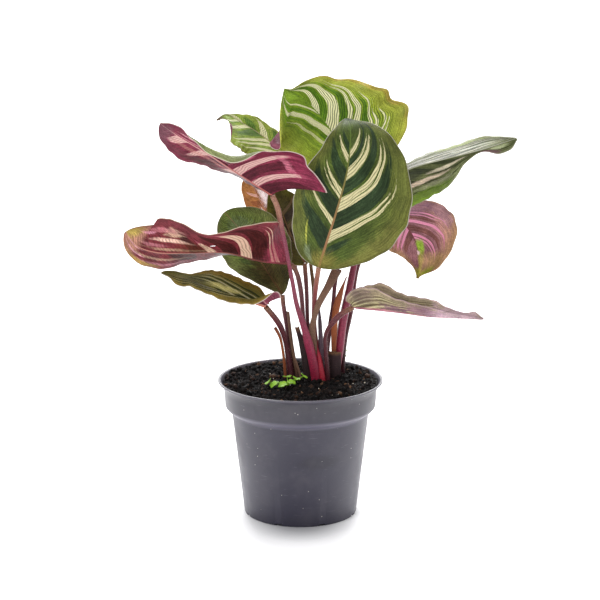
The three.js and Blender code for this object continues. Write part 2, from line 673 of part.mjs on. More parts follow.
/** Each seedling has the top of its root and small lobed leaves: centre and radius. */
const SEEDLINGS = {
  seedling_front: {
    root: [-9, -24, 101.4],
    leaves: [
      [-18.5, -28, 103.2, 3.8], [-23, -24, 104, 3], [-12.5, -29.5, 103.4, 3.7], [-6.5, -28, 104.6, 3.4],
      [-9.5, -21, 107, 3.3], [-3, -24, 106.6, 3], [2.4, -22, 107.8, 3],
    ],
  },
  seedling_back: {
    root: [31, 34, 101.4],
    leaves: [[32, 33, 108, 2.3], [33.5, 35, 112, 2.8]],
  },
};

/** Round rod between two points. */
function rodSolid(from, to, radius) {
  const axis = vector(to).sub(vector(from));
  const rod = new THREE.CylinderGeometry(radius, radius, axis.length(), SEEDLING_SIDES);
  const turn = new THREE.Quaternion().setFromUnitVectors(new THREE.Vector3(0, 1, 0), axis.normalize());
  rod.applyQuaternion(turn);
  const middle = vector(from).add(vector(to)).multiplyScalar(0.5);
  return solidOf(rod.translate(middle.x, middle.y, middle.z));
}

/** Flat leaf with five lobes about a centre, tilted away from the root. */
function lobedLeafSolid([x, y, z, radius], root) {
  const shape = new THREE.Shape();
  for (let i = 0; i < 2 * SEEDLING_LOBES; i += 1) {
    const angle = (Math.PI * i) / SEEDLING_LOBES;
    const reach = radius * (i % 2 === 0 ? 1 : SEEDLING_NOTCH);
    shape[i === 0 ? 'moveTo' : 'lineTo'](reach * Math.cos(angle), reach * Math.sin(angle));
  }
  const plate = new THREE.ExtrudeGeometry(shape, { depth: BLADE_THICKNESS, bevelEnabled: false });
  const outward = new THREE.Vector3(x - root[0], y - root[1], SEEDLING_RISE).normalize();
  plate.applyQuaternion(new THREE.Quaternion().setFromUnitVectors(new THREE.Vector3(0, 0, 1), outward));
  return solidOf(plate.translate(x, y, z));
}

/** Seedling: its leaves and their thin stalks in one body. */
function seedlingGeometry({ root, leaves }) {
  const foot = [root[0], root[1], root[2] - SEEDLING_ROOT_DEPTH];
  const pieces = leaves.flatMap((leaf) => [
    rodSolid(root, leaf.slice(0, 3), SEEDLING_STALK_RADIUS),
    lobedLeafSolid(leaf, root),
  ]);
  pieces.push(rodSolid(foot, root, 2 * SEEDLING_STALK_RADIUS));
  return geometryFrom(largestBody(pieces.reduce((body, piece) => body.add(piece))));
}

// ---------------------------------------------------------------- assembly

const plant = new THREE.Group();

/** Adds a named piece to the plant. */
function addPiece(name, geometry, finishName) {
  const piece = new THREE.Mesh(geometry, FINISHES[finishName]());
  piece.name = name;
  plant.add(piece);
}

/** Cuts each solid by the grown solids before it in the list, and keeps its main body. */
function nestedSolids(solids, grown) {
  return solids.map((solid, i) => {
    const cutters = grown.slice(0, i);
    const cut = cutters.reduce((body, cutter) => body.subtract(cutter), solid);
    return largestBody(cut);
  });
}

const stalks = Object.values(STALKS).map((stalk) => solidOf(stalkGeometry(stalk)));
const grownStalks = Object.values(STALKS).map((stalk) => solidOf(stalkGeometry(stalk, GAP)));
const nested = nestedSolids(stalks, grownStalks);

addPiece('pot', potGeometry(), 'pot');
const seedlingHoles = Object.values(SEEDLINGS).map(({ root: [x, y, z] }) => (
  rodSolid([x, y, z - SEEDLING_ROOT_DEPTH - GAP], [x, y, z + 3], 2 * SEEDLING_STALK_RADIUS + GAP)
));
addPiece('soil', soilGeometry([...grownStalks, ...seedlingHoles]), 'soil');
Object.entries(SEEDLINGS).forEach(([name, seedling]) => {
  addPiece(name, seedlingGeometry(seedling), 'seedling');
});
Object.entries(STALKS).forEach(([name, stalk], i) => {
  addPiece(name, geometryFrom(nested[i]), stalk.finish);
});
Object.entries(BLADES).forEach(([name, blade]) => {
  const whole = solidOf(bladeGeometry(blade));
  const notched = grownStalks.reduce((body, stalk) => body.subtract(stalk), whole);
  addPiece(name, geometryFrom(largestBody(notched)), blade.finish);
});

export default plant;
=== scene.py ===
"""Potted calathea: striped, folding leaves, their stalks, the soil and the nursery pot.

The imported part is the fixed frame. Finer leaves, stalks, sheaths, seedlings, soil and pot
take the place of its faceted nodes, in the same surfaces and along the same routes, and
every finish is built from shader nodes. Sizes are millimetres until they reach a mesh.
"""

import logging
import math
from dataclasses import dataclass
from enum import Enum
from functools import reduce

import bmesh
import bpy
import numpy as np
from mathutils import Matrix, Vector


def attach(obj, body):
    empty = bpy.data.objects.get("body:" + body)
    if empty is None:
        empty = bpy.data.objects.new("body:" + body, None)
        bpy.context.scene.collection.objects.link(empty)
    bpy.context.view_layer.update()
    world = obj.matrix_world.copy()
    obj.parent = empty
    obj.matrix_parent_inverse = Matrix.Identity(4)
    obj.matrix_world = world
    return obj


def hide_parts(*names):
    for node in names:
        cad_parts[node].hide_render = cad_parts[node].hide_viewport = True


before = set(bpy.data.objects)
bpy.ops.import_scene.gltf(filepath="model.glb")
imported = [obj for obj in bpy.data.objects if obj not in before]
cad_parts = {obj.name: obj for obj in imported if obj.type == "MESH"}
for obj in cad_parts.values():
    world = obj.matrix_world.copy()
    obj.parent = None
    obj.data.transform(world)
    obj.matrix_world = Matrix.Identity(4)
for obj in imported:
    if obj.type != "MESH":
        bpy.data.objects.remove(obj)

LOG = logging.getLogger("potted_calathea")
MM = .001

Colour = tuple[int, int, int]
Point = tuple[float, float, float]
Band = tuple[float, float, float]          # place along the veins, half width, reach
Array = np.ndarray
Piece = bpy.types.Object
Material = bpy.types.Material
NodeTree = bpy.types.NodeTree
Socket = bpy.types.NodeSocket


# ---------------- curves and meshes


def linear(colour: Colour) -> tuple[float, float, float, float]:
    """Linear RGBA value of an sRGB colour of 0 to 255, with alpha 1."""
    shares = [channel / 255 for channel in colour]
    return (*(s / 12.92 if s <= .04045 else ((s + .055) / 1.055) ** 2.4 for s in shares), 1.0)


def unit(vectors: Array) -> Array:
    """Vectors scaled to length 1 along the last axis."""
    return vectors / np.maximum(np.linalg.norm(vectors, axis=-1, keepdims=True), 1e-12)


def around(count: int) -> Array:
    """Equally spaced angles once round."""
    return np.linspace(0, 2 * np.pi, count, endpoint=False)


def spots(values: tuple[float, ...], place: Array) -> tuple[Array, Array, Array]:
    """Finds shares of the way along an equally spaced list.

    Args:
        values: the listed values, first to last.
        place: the shares, 0 to 1.

    Returns:
        The list as an array, and for each share the index before it and the step past that.
    """
    listed = np.array(values, float)
    spot = np.clip(place, 0, 1) * (len(listed) - 1)
    index = np.minimum(spot.astype(int), len(listed) - 2)
    return listed, index, spot - index


def along(values: tuple[float, ...], place: Array) -> Array:
    """Values that run smoothly through an equally spaced list, level at each of its values.

    Args:
        values: the listed values, first to last.
        place: shares of the way along the list, 0 to 1.

    Returns:
        One value for each share.
    """
    listed, index, step = spots(values, place)
    return listed[index] + (listed[index + 1] - listed[index]) * (step * step * (3 - 2 * step))


def flowing(values: tuple[float, ...], place: Array, least: float) -> Array:
    """Values on one smooth curve through an equally spaced list, never below a least value.

    Args:
        values: the listed values, first to last.
        place: shares of the way along the list, 0 to 1.
        least: the smallest value to return.

    Returns:
        One value for each share.
    """
    listed, index, s = spots(values, place)
    before, start, end, after = (
        listed[np.clip(index + k, 0, len(listed) - 1)] for k in (-1, 0, 1, 2))
    value = start * (2 * s**3 - 3 * s**2 + 1) + (end - before) / 2 * (s**3 - 2 * s**2 + s)
    value += end * (3 * s**2 - 2 * s**3) + (after - start) / 2 * (s**3 - s**2)
    return np.maximum(value, least)


class Route:
    """A smooth centripetal curve through given points, read by distance along it."""

    SAMPLES = 400

    def __init__(self, points: list[Point]) -> None:
        """Samples the curve.

        Args:
            points: the points it runs through, in millimetres.
        """
        given = np.array(points, float)
        ends = np.array([2 * given[0] - given[1], *given, 2 * given[-1] - given[-2]])
        place = np.linspace(0, len(given) - 1, self.SAMPLES)
        index = np.minimum(place.astype(int), len(given) - 2)
        step = (place - index)[:, None]
        p0, p1, p2, p3 = (ends[index + k] for k in range(4))
        d0, d1, d2 = (np.maximum(np.sum((a - b) ** 2, axis=1) ** .25, 1e-6)[:, None]
                      for a, b in ((p0, p1), (p1, p2), (p2, p3)))
        leave = ((p1 - p0) / d0 - (p2 - p0) / (d0 + d1) + (p2 - p1) / d1) * d1
        arrive = ((p2 - p1) / d1 - (p3 - p1) / (d1 + d2) + (p3 - p2) / d2) * d1
        bend = -3 * p1 + 3 * p2 - 2 * leave - arrive
        twist = 2 * p1 - 2 * p2 + leave + arrive
        self.points = p1 + leave * step + bend * step**2 + twist * step**3
        lengths = np.linalg.norm(np.diff(self.points, axis=0), axis=1)
        self.reached = np.concatenate([[0], np.cumsum(lengths)])
        self.length = float(self.reached[-1])
        self.slopes = unit(np.gradient(self.points, self.reached, axis=0))

    def at(self, share: Array) -> tuple[Array, Array]:
        """Points and unit directions of the curve at shares of its length."""
        distance = np.clip(share, 0, 1) * self.length
        point, slope = (
            np.stack([np.interp(distance, self.reached, column) for column in table.T], axis=-1)
            for table in (self.points, self.slopes))
        return point, unit(slope)


def turned(profile: Array, angle: Array) -> Array:
    """Rings of points of a half profile (radius and height) turned about +Z."""
    radius, height = profile[:, :1], profile[:, 1:]
    return np.stack([radius * np.cos(angle), radius * np.sin(angle), height + 0 * angle], axis=-1)


def ringed(middle: Array, side: Array, front: Array, broad: Array, deep: Array) -> Array:
    """Rings of points about a middle line, by their offsets to the side and to the front."""
    return middle[:, None] + side[:, None] * broad[..., None] + front[:, None] * deep[..., None]


def grid_faces(rows: int, columns: int, start: int = 0, closed: bool = False) -> Array:
    """Quads of a grid of vertices that are listed row by row.

    Args:
        rows: rows of vertices.
        columns: vertices in a row.
        start: index of the first vertex.
        closed: whether each row runs round to its start.

    Returns:
        An array of four corner indices per quad.
    """
    row, column = np.meshgrid(np.arange(rows - 1), np.arange(columns - (not closed)), indexing="ij")
    a = (start + row * columns + column).ravel()
    b = (start + row * columns + (column + 1) % columns).ravel()
    return np.stack([a, b, b + columns, a + columns], axis=1)


def tube_faces(rows: int, sides: int, start: int = 0) -> list[list[int]]:
    """Faces of a stack of rings with a cap at each end.

    Args:
        rows: number of rings.
        sides: vertices in a ring.
        start: index of the first vertex.

    Returns:
        Lists of corner indices.
    """
    caps = [list(range(start + row * sides, start + (row + 1) * sides)) for row in (0, rows - 1)]
    return [*grid_faces(rows, sides, start, closed=True).tolist(), caps[0][::-1], caps[1]]


def build_object(name: str, points: Array, faces: list, maps: dict[str, Array] | None = None,
                 materials: tuple[Material, ...] = (), picks: Array | None = None) -> Piece:
    """Makes a smooth mesh object.

    Args:
        name: the object's name.
        points: vertex positions in millimetres.
        faces: lists of vertex indices.
        maps: UV maps by name, each with one pair per vertex.
        materials: the materials in slot order.
        picks: the material slot of each face.

    Returns:
        The new object, linked to the scene.
    """
    mesh = bpy.data.meshes.new(name)
    mesh.from_pydata((points * MM).tolist(), [], [list(map(int, face)) for face in faces])
    mesh.polygons.foreach_set("use_smooth", np.ones(len(mesh.polygons), bool))
    corners = np.empty(len(mesh.loops), int)
    mesh.loops.foreach_get("vertex_index", corners)
    for title, pairs in (maps or {}).items():
        layer = mesh.uv_layers.new(name=title)
        layer.data.foreach_set("uv", np.asarray(pairs, float)[corners].ravel())
    for material in materials:
        mesh.materials.append(material)
    if picks is not None:
        mesh.polygons.foreach_set("material_index", np.asarray(picks, np.int32))
    mesh.update()
    piece = bpy.data.objects.new(name, mesh)
    bpy.context.scene.collection.objects.link(piece)
    return piece


def face_outward(piece: Piece) -> Piece:
    """Turns every face of a closed piece outward and returns the piece."""
    work = bmesh.new()
    work.from_mesh(piece.data)
    bmesh.ops.recalc_face_normals(work, faces=work.faces)
    work.to_mesh(piece.data)
    work.free()
    return piece


def settle(piece: Piece, slot: str, replaced: str | None = None) -> None:
    """Fixes a finished piece to the plant.

    Args:
        piece: the object.
        slot: the record's material slot for the piece, which only goes into the log.
        replaced: the frame's node that it stands for, if there is one.
    """
    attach(piece, "root")
    if replaced:
        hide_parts(replaced)
    LOG.info("%s: %d faces, finish %s", piece.name, len(piece.data.polygons), slot)


# ---------------- shader building


class Tree:
    """Adds nodes to one node tree in short calls."""

    def __init__(self, tree: NodeTree) -> None:
        """Keeps the tree that the calls add to."""
        self.tree = tree

    def put(self, socket: Socket, value: object) -> None:
        """Links a socket to an input, or sets the input's own value."""
        if isinstance(value, Socket):
            self.tree.links.new(value, socket)
        else:
            socket.default_value = value

    def node(self, kind: str, inputs: dict | None = None, **settings: object) -> bpy.types.Node:
        """Adds a node.

        Args:
            kind: the node type without its ShaderNode prefix.
            inputs: values or sockets for its inputs, by name or index.
            **settings: properties of the node.

        Returns:
            The new node.
        """
        made = self.tree.nodes.new("ShaderNode" + kind)
        for key, value in settings.items():
            setattr(made, key, value)
        for key, value in (inputs or {}).items():
            self.put(made.inputs[key], value)
        return made

    def math(self, operation: str, *values: object, clamp: bool = False) -> Socket:
        """Result of a Math node."""
        inputs = dict(enumerate(values))
        return self.node("Math", inputs, operation=operation, use_clamp=clamp).outputs[0]

    def add(self, first: object, second: object) -> Socket:
        """Sum of two values."""
        return self.math("ADD", first, second)

    def sub(self, first: object, second: object) -> Socket:
        """Difference of two values."""
        return self.math("SUBTRACT", first, second)

    def mul(self, first: object, second: object, clamp: bool = False) -> Socket:
        """Product of two values."""
        return self.math("MULTIPLY", first, second, clamp=clamp)

    def fused(self, first: object, second: object, third: object) -> Socket:
        """Product of two values plus a third."""
        return self.math("MULTIPLY_ADD", first, second, third)

    def hypot(self, x: Socket, y: Socket) -> Socket:
        """Length of two sides together."""
        return self.math("SQRT", self.add(self.mul(x, x), self.mul(y, y)))

    def mix(self, share: object, first: object, second: object, blend: str = "MIX") -> Socket:
        """Blend of two colours."""
        inputs = {0: share, 6: first, 7: second}
        return self.node("Mix", inputs, data_type="RGBA", blend_type=blend).outputs[2]

    def over(self, colour: Socket, *layers: tuple[object, object]) -> Socket:
        """A colour under others, each with its share."""
        return reduce(lambda below, layer: self.mix(layer[0], below, layer[1]), layers, colour)

    def tint(self, colour: Socket, *layers: tuple[Socket, float, Colour]) -> Socket:
        """A colour under others, each an sRGB one with a mask and its strength."""
        return self.over(colour, *((self.mul(mask, strength), linear(upper))
                                   for mask, strength, upper in layers))

    def step(self, value: object, low: object, high: object) -> Socket:
        """0 below low, 1 above high, smooth between."""
        inputs = {"Value": value, "From Min": low, "From Max": high}
        return self.node("MapRange", inputs, interpolation_type="SMOOTHSTEP").outputs[0]

    def fall(self, value: object, low: object, high: object) -> Socket:
        """1 below low, 0 above high, smooth between."""
        return self.sub(1.0, self.step(value, low, high))

    def scale(self, value: object, low: object, high: object) -> Socket:
        """A 0 to 1 value moved to the range from low to high."""
        return self.node("MapRange", {"Value": value, "To Min": low, "To Max": high}).outputs[0]

    def noise(self, vector: Socket, scale: object, detail: float = 3, rough: float = .5) -> Socket:
        """Fractal noise from 0 to 1."""
        inputs = {"Vector": vector, "Scale": scale, "Detail": detail, "Roughness": rough}
        return self.node("TexNoise", inputs).outputs["Fac"]

    def stretch(self, vector: Socket, scales: Point) -> Socket:
        """A vector multiplied by one factor per axis."""
        return self.node("VectorMath", {0: vector, 1: scales}, operation="MULTIPLY").outputs[0]

    def join(self, x: object, y: object, z: object = 0.0) -> Socket:
        """A vector made of three values."""
        return self.node("CombineXYZ", {0: x, 1: y, 2: z}).outputs[0]

    def split(self, vector: Socket) -> list[Socket]:
        """The three values of a vector."""
        return list(self.node("SeparateXYZ", {0: vector}).outputs)

    def pair(self, name: str) -> list[Socket]:
        """The two values of a named UV map."""
        return self.split(self.node("UVMap", uv_map=name).outputs[0])[:2]

    def place(self) -> Socket:
        """Object coordinates, in metres."""
        return self.node("TexCoord").outputs["Object"]

    def ramp(self, share: object, stops: tuple[tuple[float, Colour], ...]) -> Socket:
        """Colours that run along a value.

        Args:
            share: the value, 0 to 1.
            stops: the value and sRGB colour of each stop, in order.

        Returns:
            The colour socket.
        """
        made = self.node("ValToRGB", {0: share})
        marks = made.color_ramp.elements
        while len(marks) < len(stops):
            marks.new(1.0)
        for mark, (spot, colour) in zip(marks, stops):
            mark.position, mark.color = spot, linear(colour)
        return made.outputs[0]

    def use(self, tree: NodeTree, **inputs: object) -> bpy.types.NodeOutputs:
        """Outputs of a group that is placed here; underscores in the keywords are spaces."""
        made = self.node("Group", node_tree=tree)
        for key, value in inputs.items():
            self.put(made.inputs[key.replace("_", " ")], value)
        return made.outputs


class Kind(Enum):
    """Socket types of the node groups."""

    VALUE = "NodeSocketFloat"
    COLOUR = "NodeSocketColor"


class Group(Tree):
    """A shader node group with named inputs and outputs."""

    def __init__(self, name: str, inputs: dict[Kind, str], outputs: dict[Kind, str]) -> None:
        """Makes the empty group.

        Args:
            name: the group's name.
            inputs: the names of its inputs by type; underscores in a name are spaces.
            outputs: the names of its outputs by type.
        """
        super().__init__(bpy.data.node_groups.new(name, "ShaderNodeTree"))
        for way, sockets in (("INPUT", inputs), ("OUTPUT", outputs)):
            for kind, titles in sockets.items():
                for title in titles.split():
                    self.tree.interface.new_socket(
                        title.replace("_", " "), in_out=way, socket_type=kind.value)
        self.given = list(self.tree.nodes.new("NodeGroupInput").outputs)[:-1]
        self.result = self.tree.nodes.new("NodeGroupOutput").inputs

    def finish(self, **results: object) -> NodeTree:
        """Feeds the outputs and returns the group's tree."""
        for key, value in results.items():
            self.put(self.result[key], value)
        return self.tree


class Finish(Tree):
    """A node material with one Principled shader."""

    def __init__(self, name: str) -> None:
        """Makes the empty material."""
        self.material = bpy.data.materials.new(name)
        self.material.use_nodes = True
        super().__init__(self.material.node_tree)
        self.shader = self.tree.nodes["Principled BSDF"].inputs

    def done(self, colour: Socket, roughness: object, specular: float = .5,
             relief: tuple[Socket, float, float] | None = None) -> Material:
        """Feeds the shader.

        Args:
            colour: the base colour.
            roughness: the roughness, as a number or a socket.
            specular: the specular level.
            relief: height of a bump, 0 to 1, its depth in millimetres and the share that shows.

        Returns:
            The material.
        """
        self.put(self.shader["Base Color"], colour)
        self.put(self.shader["Roughness"], roughness)
        self.shader["Specular IOR Level"].default_value = specular
        if relief:
            height, depth, strength = relief
            inputs = {"Height": height, "Distance": depth * MM, "Strength": strength}
            self.put(self.shader["Normal"], self.node("Bump", inputs).outputs[0])
        return self.material


class Effects:
    """The node groups that several finishes share, each built once."""

    VEIN_START = -.6                       # the vein map runs from here ...
    VEIN_SPAN = 1.7                         # ... over this much of the leaf's length
    SKIRT_LEVEL = .3                       # height of a band's edge in its curve

    def __init__(self) -> None:
        """Builds the groups."""
        self.marks = self.leaf_marks()
        self.veins = self.leaf_veins()
        self.patch = self.leaf_patch()
        self.tissue = self.leaf_tissue()
        self.fibres = self.stalk_fibres()
        self.dust = self.dust_specks()

    @staticmethod
    def leaf_marks() -> NodeTree:
        """Stripes or ovals: where a band's curve stands above the distance from the rib."""
        group = Group("leaf_marks", {Kind.VALUE: "Height Across Vein Jitter Softness Halo"},
                      {Kind.VALUE: "Mask Glow"})
        height, across, vein, jitter, softness, halo = group.given
        spot = group.join(vein, across)
        fine = group.noise(spot, 55.0, 2, .7)
        ragged = group.noise(group.stretch(spot, (90.0, 9.0, 1.0)), 1.0, 1)
        wander = group.add(group.sub(fine, .5), group.sub(ragged, .5))
        level = Effects.SKIRT_LEVEL
        raised = group.math("DIVIDE", group.sub(height, level), 1 - level)
        above = group.sub(raised, group.fused(wander, jitter, across))
        return group.finish(Mask=group.step(above, group.mul(softness, -1.0), softness),
                            Glow=group.step(above, group.mul(halo, -1.0), softness))

    @staticmethod
    def leaf_veins() -> NodeTree:
        """Fine side veins: thin lines, and the gentle swell of the tissue between them."""
        group = Group("leaf_veins", {Kind.VALUE: "Vein Across Count"}, {Kind.VALUE: "Line Swell"})
        vein, across, count = group.given
        spot = group.join(vein, across)
        sway = group.mul(group.noise(spot, 3.0, 1), .06)
        phase = group.mul(group.mul(group.add(vein, sway), count), math.pi)
        wave = group.math("ABSOLUTE", group.math("COSINE", phase))
        fading = group.noise(group.stretch(spot, (40.0, 4.0, 1.0)), 1.0, 1)
        line = group.mul(group.math("POWER", wave, 8.0), group.scale(fading, .2, 1.5), clamp=True)
        return group.finish(Line=line, Swell=group.sub(1.0, group.math("POWER", wave, 3.0)))

    @staticmethod
    def leaf_patch() -> NodeTree:
        """One uneven oval patch of a leaf."""
        group = Group("leaf_patch", {Kind.VALUE: "Along Sideways Centre_Along Centre_Sideways "
                                                 "Half_Length Half_Width Ragged"},
                      {Kind.VALUE: "Mask"})
        forth, sideways, centre, beside, length, width, ragged = group.given
        far = group.hypot(group.math("DIVIDE", group.sub(forth, centre), length),
                          group.math("DIVIDE", group.sub(sideways, beside), width))
        rough = group.noise(group.join(forth, sideways), 18.0, 3, .6)
        edge = group.fused(group.sub(rough, .5), ragged, far)
        return group.finish(Mask=group.fall(edge, .45, 1.2))

    def leaf_tissue(self) -> NodeTree:
        """Colour, gloss and relief of one side of a leaf."""
        group = Group(
            "leaf_tissue",
            {Kind.COLOUR: "Field Margin Oval Stripe Glow Line Rib_Base Rib_Tip Edge",
             Kind.VALUE: "Along Across Vein Rib_Distance Edge_Distance Stripe_Height Oval_Height "
                         "Softness Halo Jitter Vein_Count Line_Strength Rib_Width Roughness"},
            {Kind.COLOUR: "Color", Kind.VALUE: "Roughness Height Tone Between"})
        (field, margin, dark, pale, glow, line, rib_base, rib_tip, rim, forth, across, vein,
         rib_far, edge_far, stripe_height, oval_height, softness, halo, jitter, count, strength,
         rib_width, roughness) = group.given
        spot = group.join(vein, across)
        common = {"Across": across, "Vein": vein, "Jitter": jitter}
        stripe = group.use(self.marks, Height=stripe_height, Softness=softness, Halo=halo, **common)
        oval = group.use(self.marks, Height=oval_height, Softness=.07, Halo=.1, **common)
        veins = group.use(self.veins, Vein=vein, Across=across, Count=count)
        blotch = group.noise(group.place(), 60.0, 4, .6)
        brushed = group.noise(group.stretch(spot, (90.0, 5.0, 1.0)), 1.0, 3, .65)
        cells = group.noise(group.place(), 900.0, 2, .5)
        ladder = group.noise(group.stretch(spot, (26.0, 95.0, 1.0)), 1.0, 2, .6)
        tone = reduce(group.mul, [
            group.scale(group.step(value, low, high), least, most)
            for value, low, high, least, most in (
                (blotch, .32, .68, .72, 1.25), (brushed, .3, .7, .66, 1.36),
                (cells, .3, .7, .84, 1.16), (ladder, .34, .66, 1.16, .84))])
        colour = group.over(group.mix(group.step(across, .45, 1.0), field, margin),
                            (oval["Mask"], dark))
        colour = group.mix(1.0, colour, group.join(tone, tone, tone), "MULTIPLY")
        thin = group.mul(veins["Line"], strength)
        rungs = group.mul(group.step(ladder, .54, .7), .5)
        cream = group.mix(rungs, group.mix(group.scale(brushed, 0.0, .3), pale, glow), glow)
        within = group.mul(group.mul(thin, stripe["Mask"]), 1.4, clamp=True)
        width = group.mul(rib_width, group.scale(forth, 1.0, .3))
        rib = group.fall(rib_far, group.mul(width, .55), width)
        rib_colour = group.mix(group.step(forth, .1, .85), rib_base, rib_tip)
        colour = group.over(
            colour, (thin, line), (stripe["Glow"], glow), (stripe["Mask"], cream), (within, line),
            (rib, rib_colour), (group.fall(edge_far, .25, .7), rim))
        gloss = group.mul(roughness, group.scale(blotch, .8, 1.25))
        relief = group.mul(veins["Swell"], .6)
        for value, height in ((cells, .12), (brushed, .35), (rib, .8)):
            relief = group.fused(value, height, relief)
        return group.finish(
            Color=colour, Roughness=group.fused(oval["Mask"], -.04, gloss), Height=relief,
            Tone=tone, Between=group.math("SUBTRACT", 1.0, thin, clamp=True))

    @staticmethod
    def stalk_fibres() -> NodeTree:
        """Lengthwise streaks and small marks of stalks and dried sheaths."""
        group = Group("stalk_fibres", {Kind.VALUE: "Turn Distance Count"},
                      {Kind.VALUE: "Streak Mottle Speck Height"})
        turn, distance, count = group.given
        angle = group.mul(turn, 2 * math.pi)
        ring = group.join(group.math("COSINE", angle), group.math("SINE", angle),
                          group.mul(distance, 1.6))
        streak = group.noise(group.stretch(ring, (1.0, 1.0, .35)), count, 3, .65)
        mottle = group.noise(ring, 2.6, 4, .6)
        return group.finish(
            Streak=group.step(streak, .3, .7), Mottle=group.step(mottle, .35, .65),
            Speck=group.step(group.noise(group.place(), 1500.0, 1), .66, .74),
            Height=group.fused(mottle, .3, streak))

    @staticmethod
    def dust_specks() -> NodeTree:
        """Scattered specks and a fine film of dust."""
        group = Group("dust_specks", {Kind.VALUE: "Amount Scale"}, {Kind.VALUE: "Speck Film"})
        amount, scale = group.given
        cell = group.node("TexVoronoi", {"Vector": group.place(), "Scale": scale}).outputs
        drawn = group.node("SeparateColor", {0: cell["Color"]}).outputs[0]
        chosen = group.math("LESS_THAN", drawn, amount)
        film = group.noise(group.place(), 45.0, 5, .65)
        return group.finish(Speck=group.mul(group.fall(cell["Distance"], .1, .2), chosen),
                            Film=group.step(film, .42, .75))


# ---------------- leaf finishes


class Face(Enum):
    """The two sides of a leaf."""

    UPPER = 0
    UNDER = 1


@dataclass(frozen=True)
class Patch:
    """An uneven oval patch of another colour on a leaf: mostly a mark of the leaf itself, while
    some are painted highlights, painted sheen and painted shade.

    along and sideways give its centre, from base 0 to tip 1 and from the left margin -1 to
    the right margin 1; length and width are its half sizes in the same units.
    """

    along: float
    sideways: float
    length: float
    width: float
    colour: Colour
    strength: float
    ragged: float


@dataclass(frozen=True)
class Half:
    """One half of a blade, seen from above with the tip ahead.

    widths, lobe, fold, curl and wave shape it as they do in the frame; slant is how far its
    veins sweep toward the tip; stripes and ovals are its pale and dark marks between veins.
    """

    widths: tuple[float, ...]
    fold: tuple[float, ...]
    wave: tuple[float, float, float]
    curl: tuple[float, ...] = (0, 0)
    lobe: float = 0.0
    slant: float = .115
    stripes: tuple[Band, ...] = ()
    ovals: tuple[Band, ...] = ()


SKIRT = .03        # width over which a band's curve falls away beside it


def band_curve(bands: tuple[Band, ...]) -> list[tuple[float, float]]:
    """Curve of how far from the rib the bands reach, along the vein map.

    Args:
        bands: place, half width and reach of each band.

    Returns:
        Points of the curve, with the vein map's 0 to 1 across and heights 0 to 1.
    """
    level = Effects.SKIRT_LEVEL

    def height(q: float) -> float:
        """Highest of the bands' curves at one place."""
        best = 0.0
        for centre, half, reach in bands:
            beside = abs(q - centre) / half
            if beside <= 1:
                best = max(best, level + (1 - level) * reach * (1 - beside**4))
            else:
                best = max(best, level * (1 - (abs(q - centre) - half) / SKIRT))
        return best

    shares = (-1, -.8, -.5, 0, .5, .8, 1)
    places = {centre + half * share for centre, half, _ in bands for share in shares}
    places |= {c + side * (h + SKIRT) for c, h, _ in bands for side in (-1, 1)}
    ordered = sorted(places)
    middles = [(a + b) / 2 for a, b in zip(ordered, ordered[1:])]
    mapped = [((q - Effects.VEIN_START) / Effects.VEIN_SPAN, height(q))
              for q in sorted([*ordered, *middles])]
    return [(0.0, 0.0), *[spot for spot in mapped if 0 < spot[0] < 1], (1.0, 0.0)]


def curve_value(tree: Tree, share: Socket, bands: tuple[Band, ...]) -> Socket:
    """Value of a Float Curve node that holds the curve of some bands.

    Args:
        tree: the material's tree.
        share: the place along the vein map, 0 to 1.
        bands: place, half width and reach of each band.

    Returns:
        The value socket.
    """
    made = tree.node("FloatCurve", {"Value": share})
    line = made.mapping.curves[0]
    first, *middle, last = band_curve(bands)
    line.points[0].location, line.points[1].location = first, last
    for spot in middle:
        line.points.new(*spot)
    for mark in line.points:
        mark.handle_type = "VECTOR"
    made.mapping.update()
    return made.outputs[0]


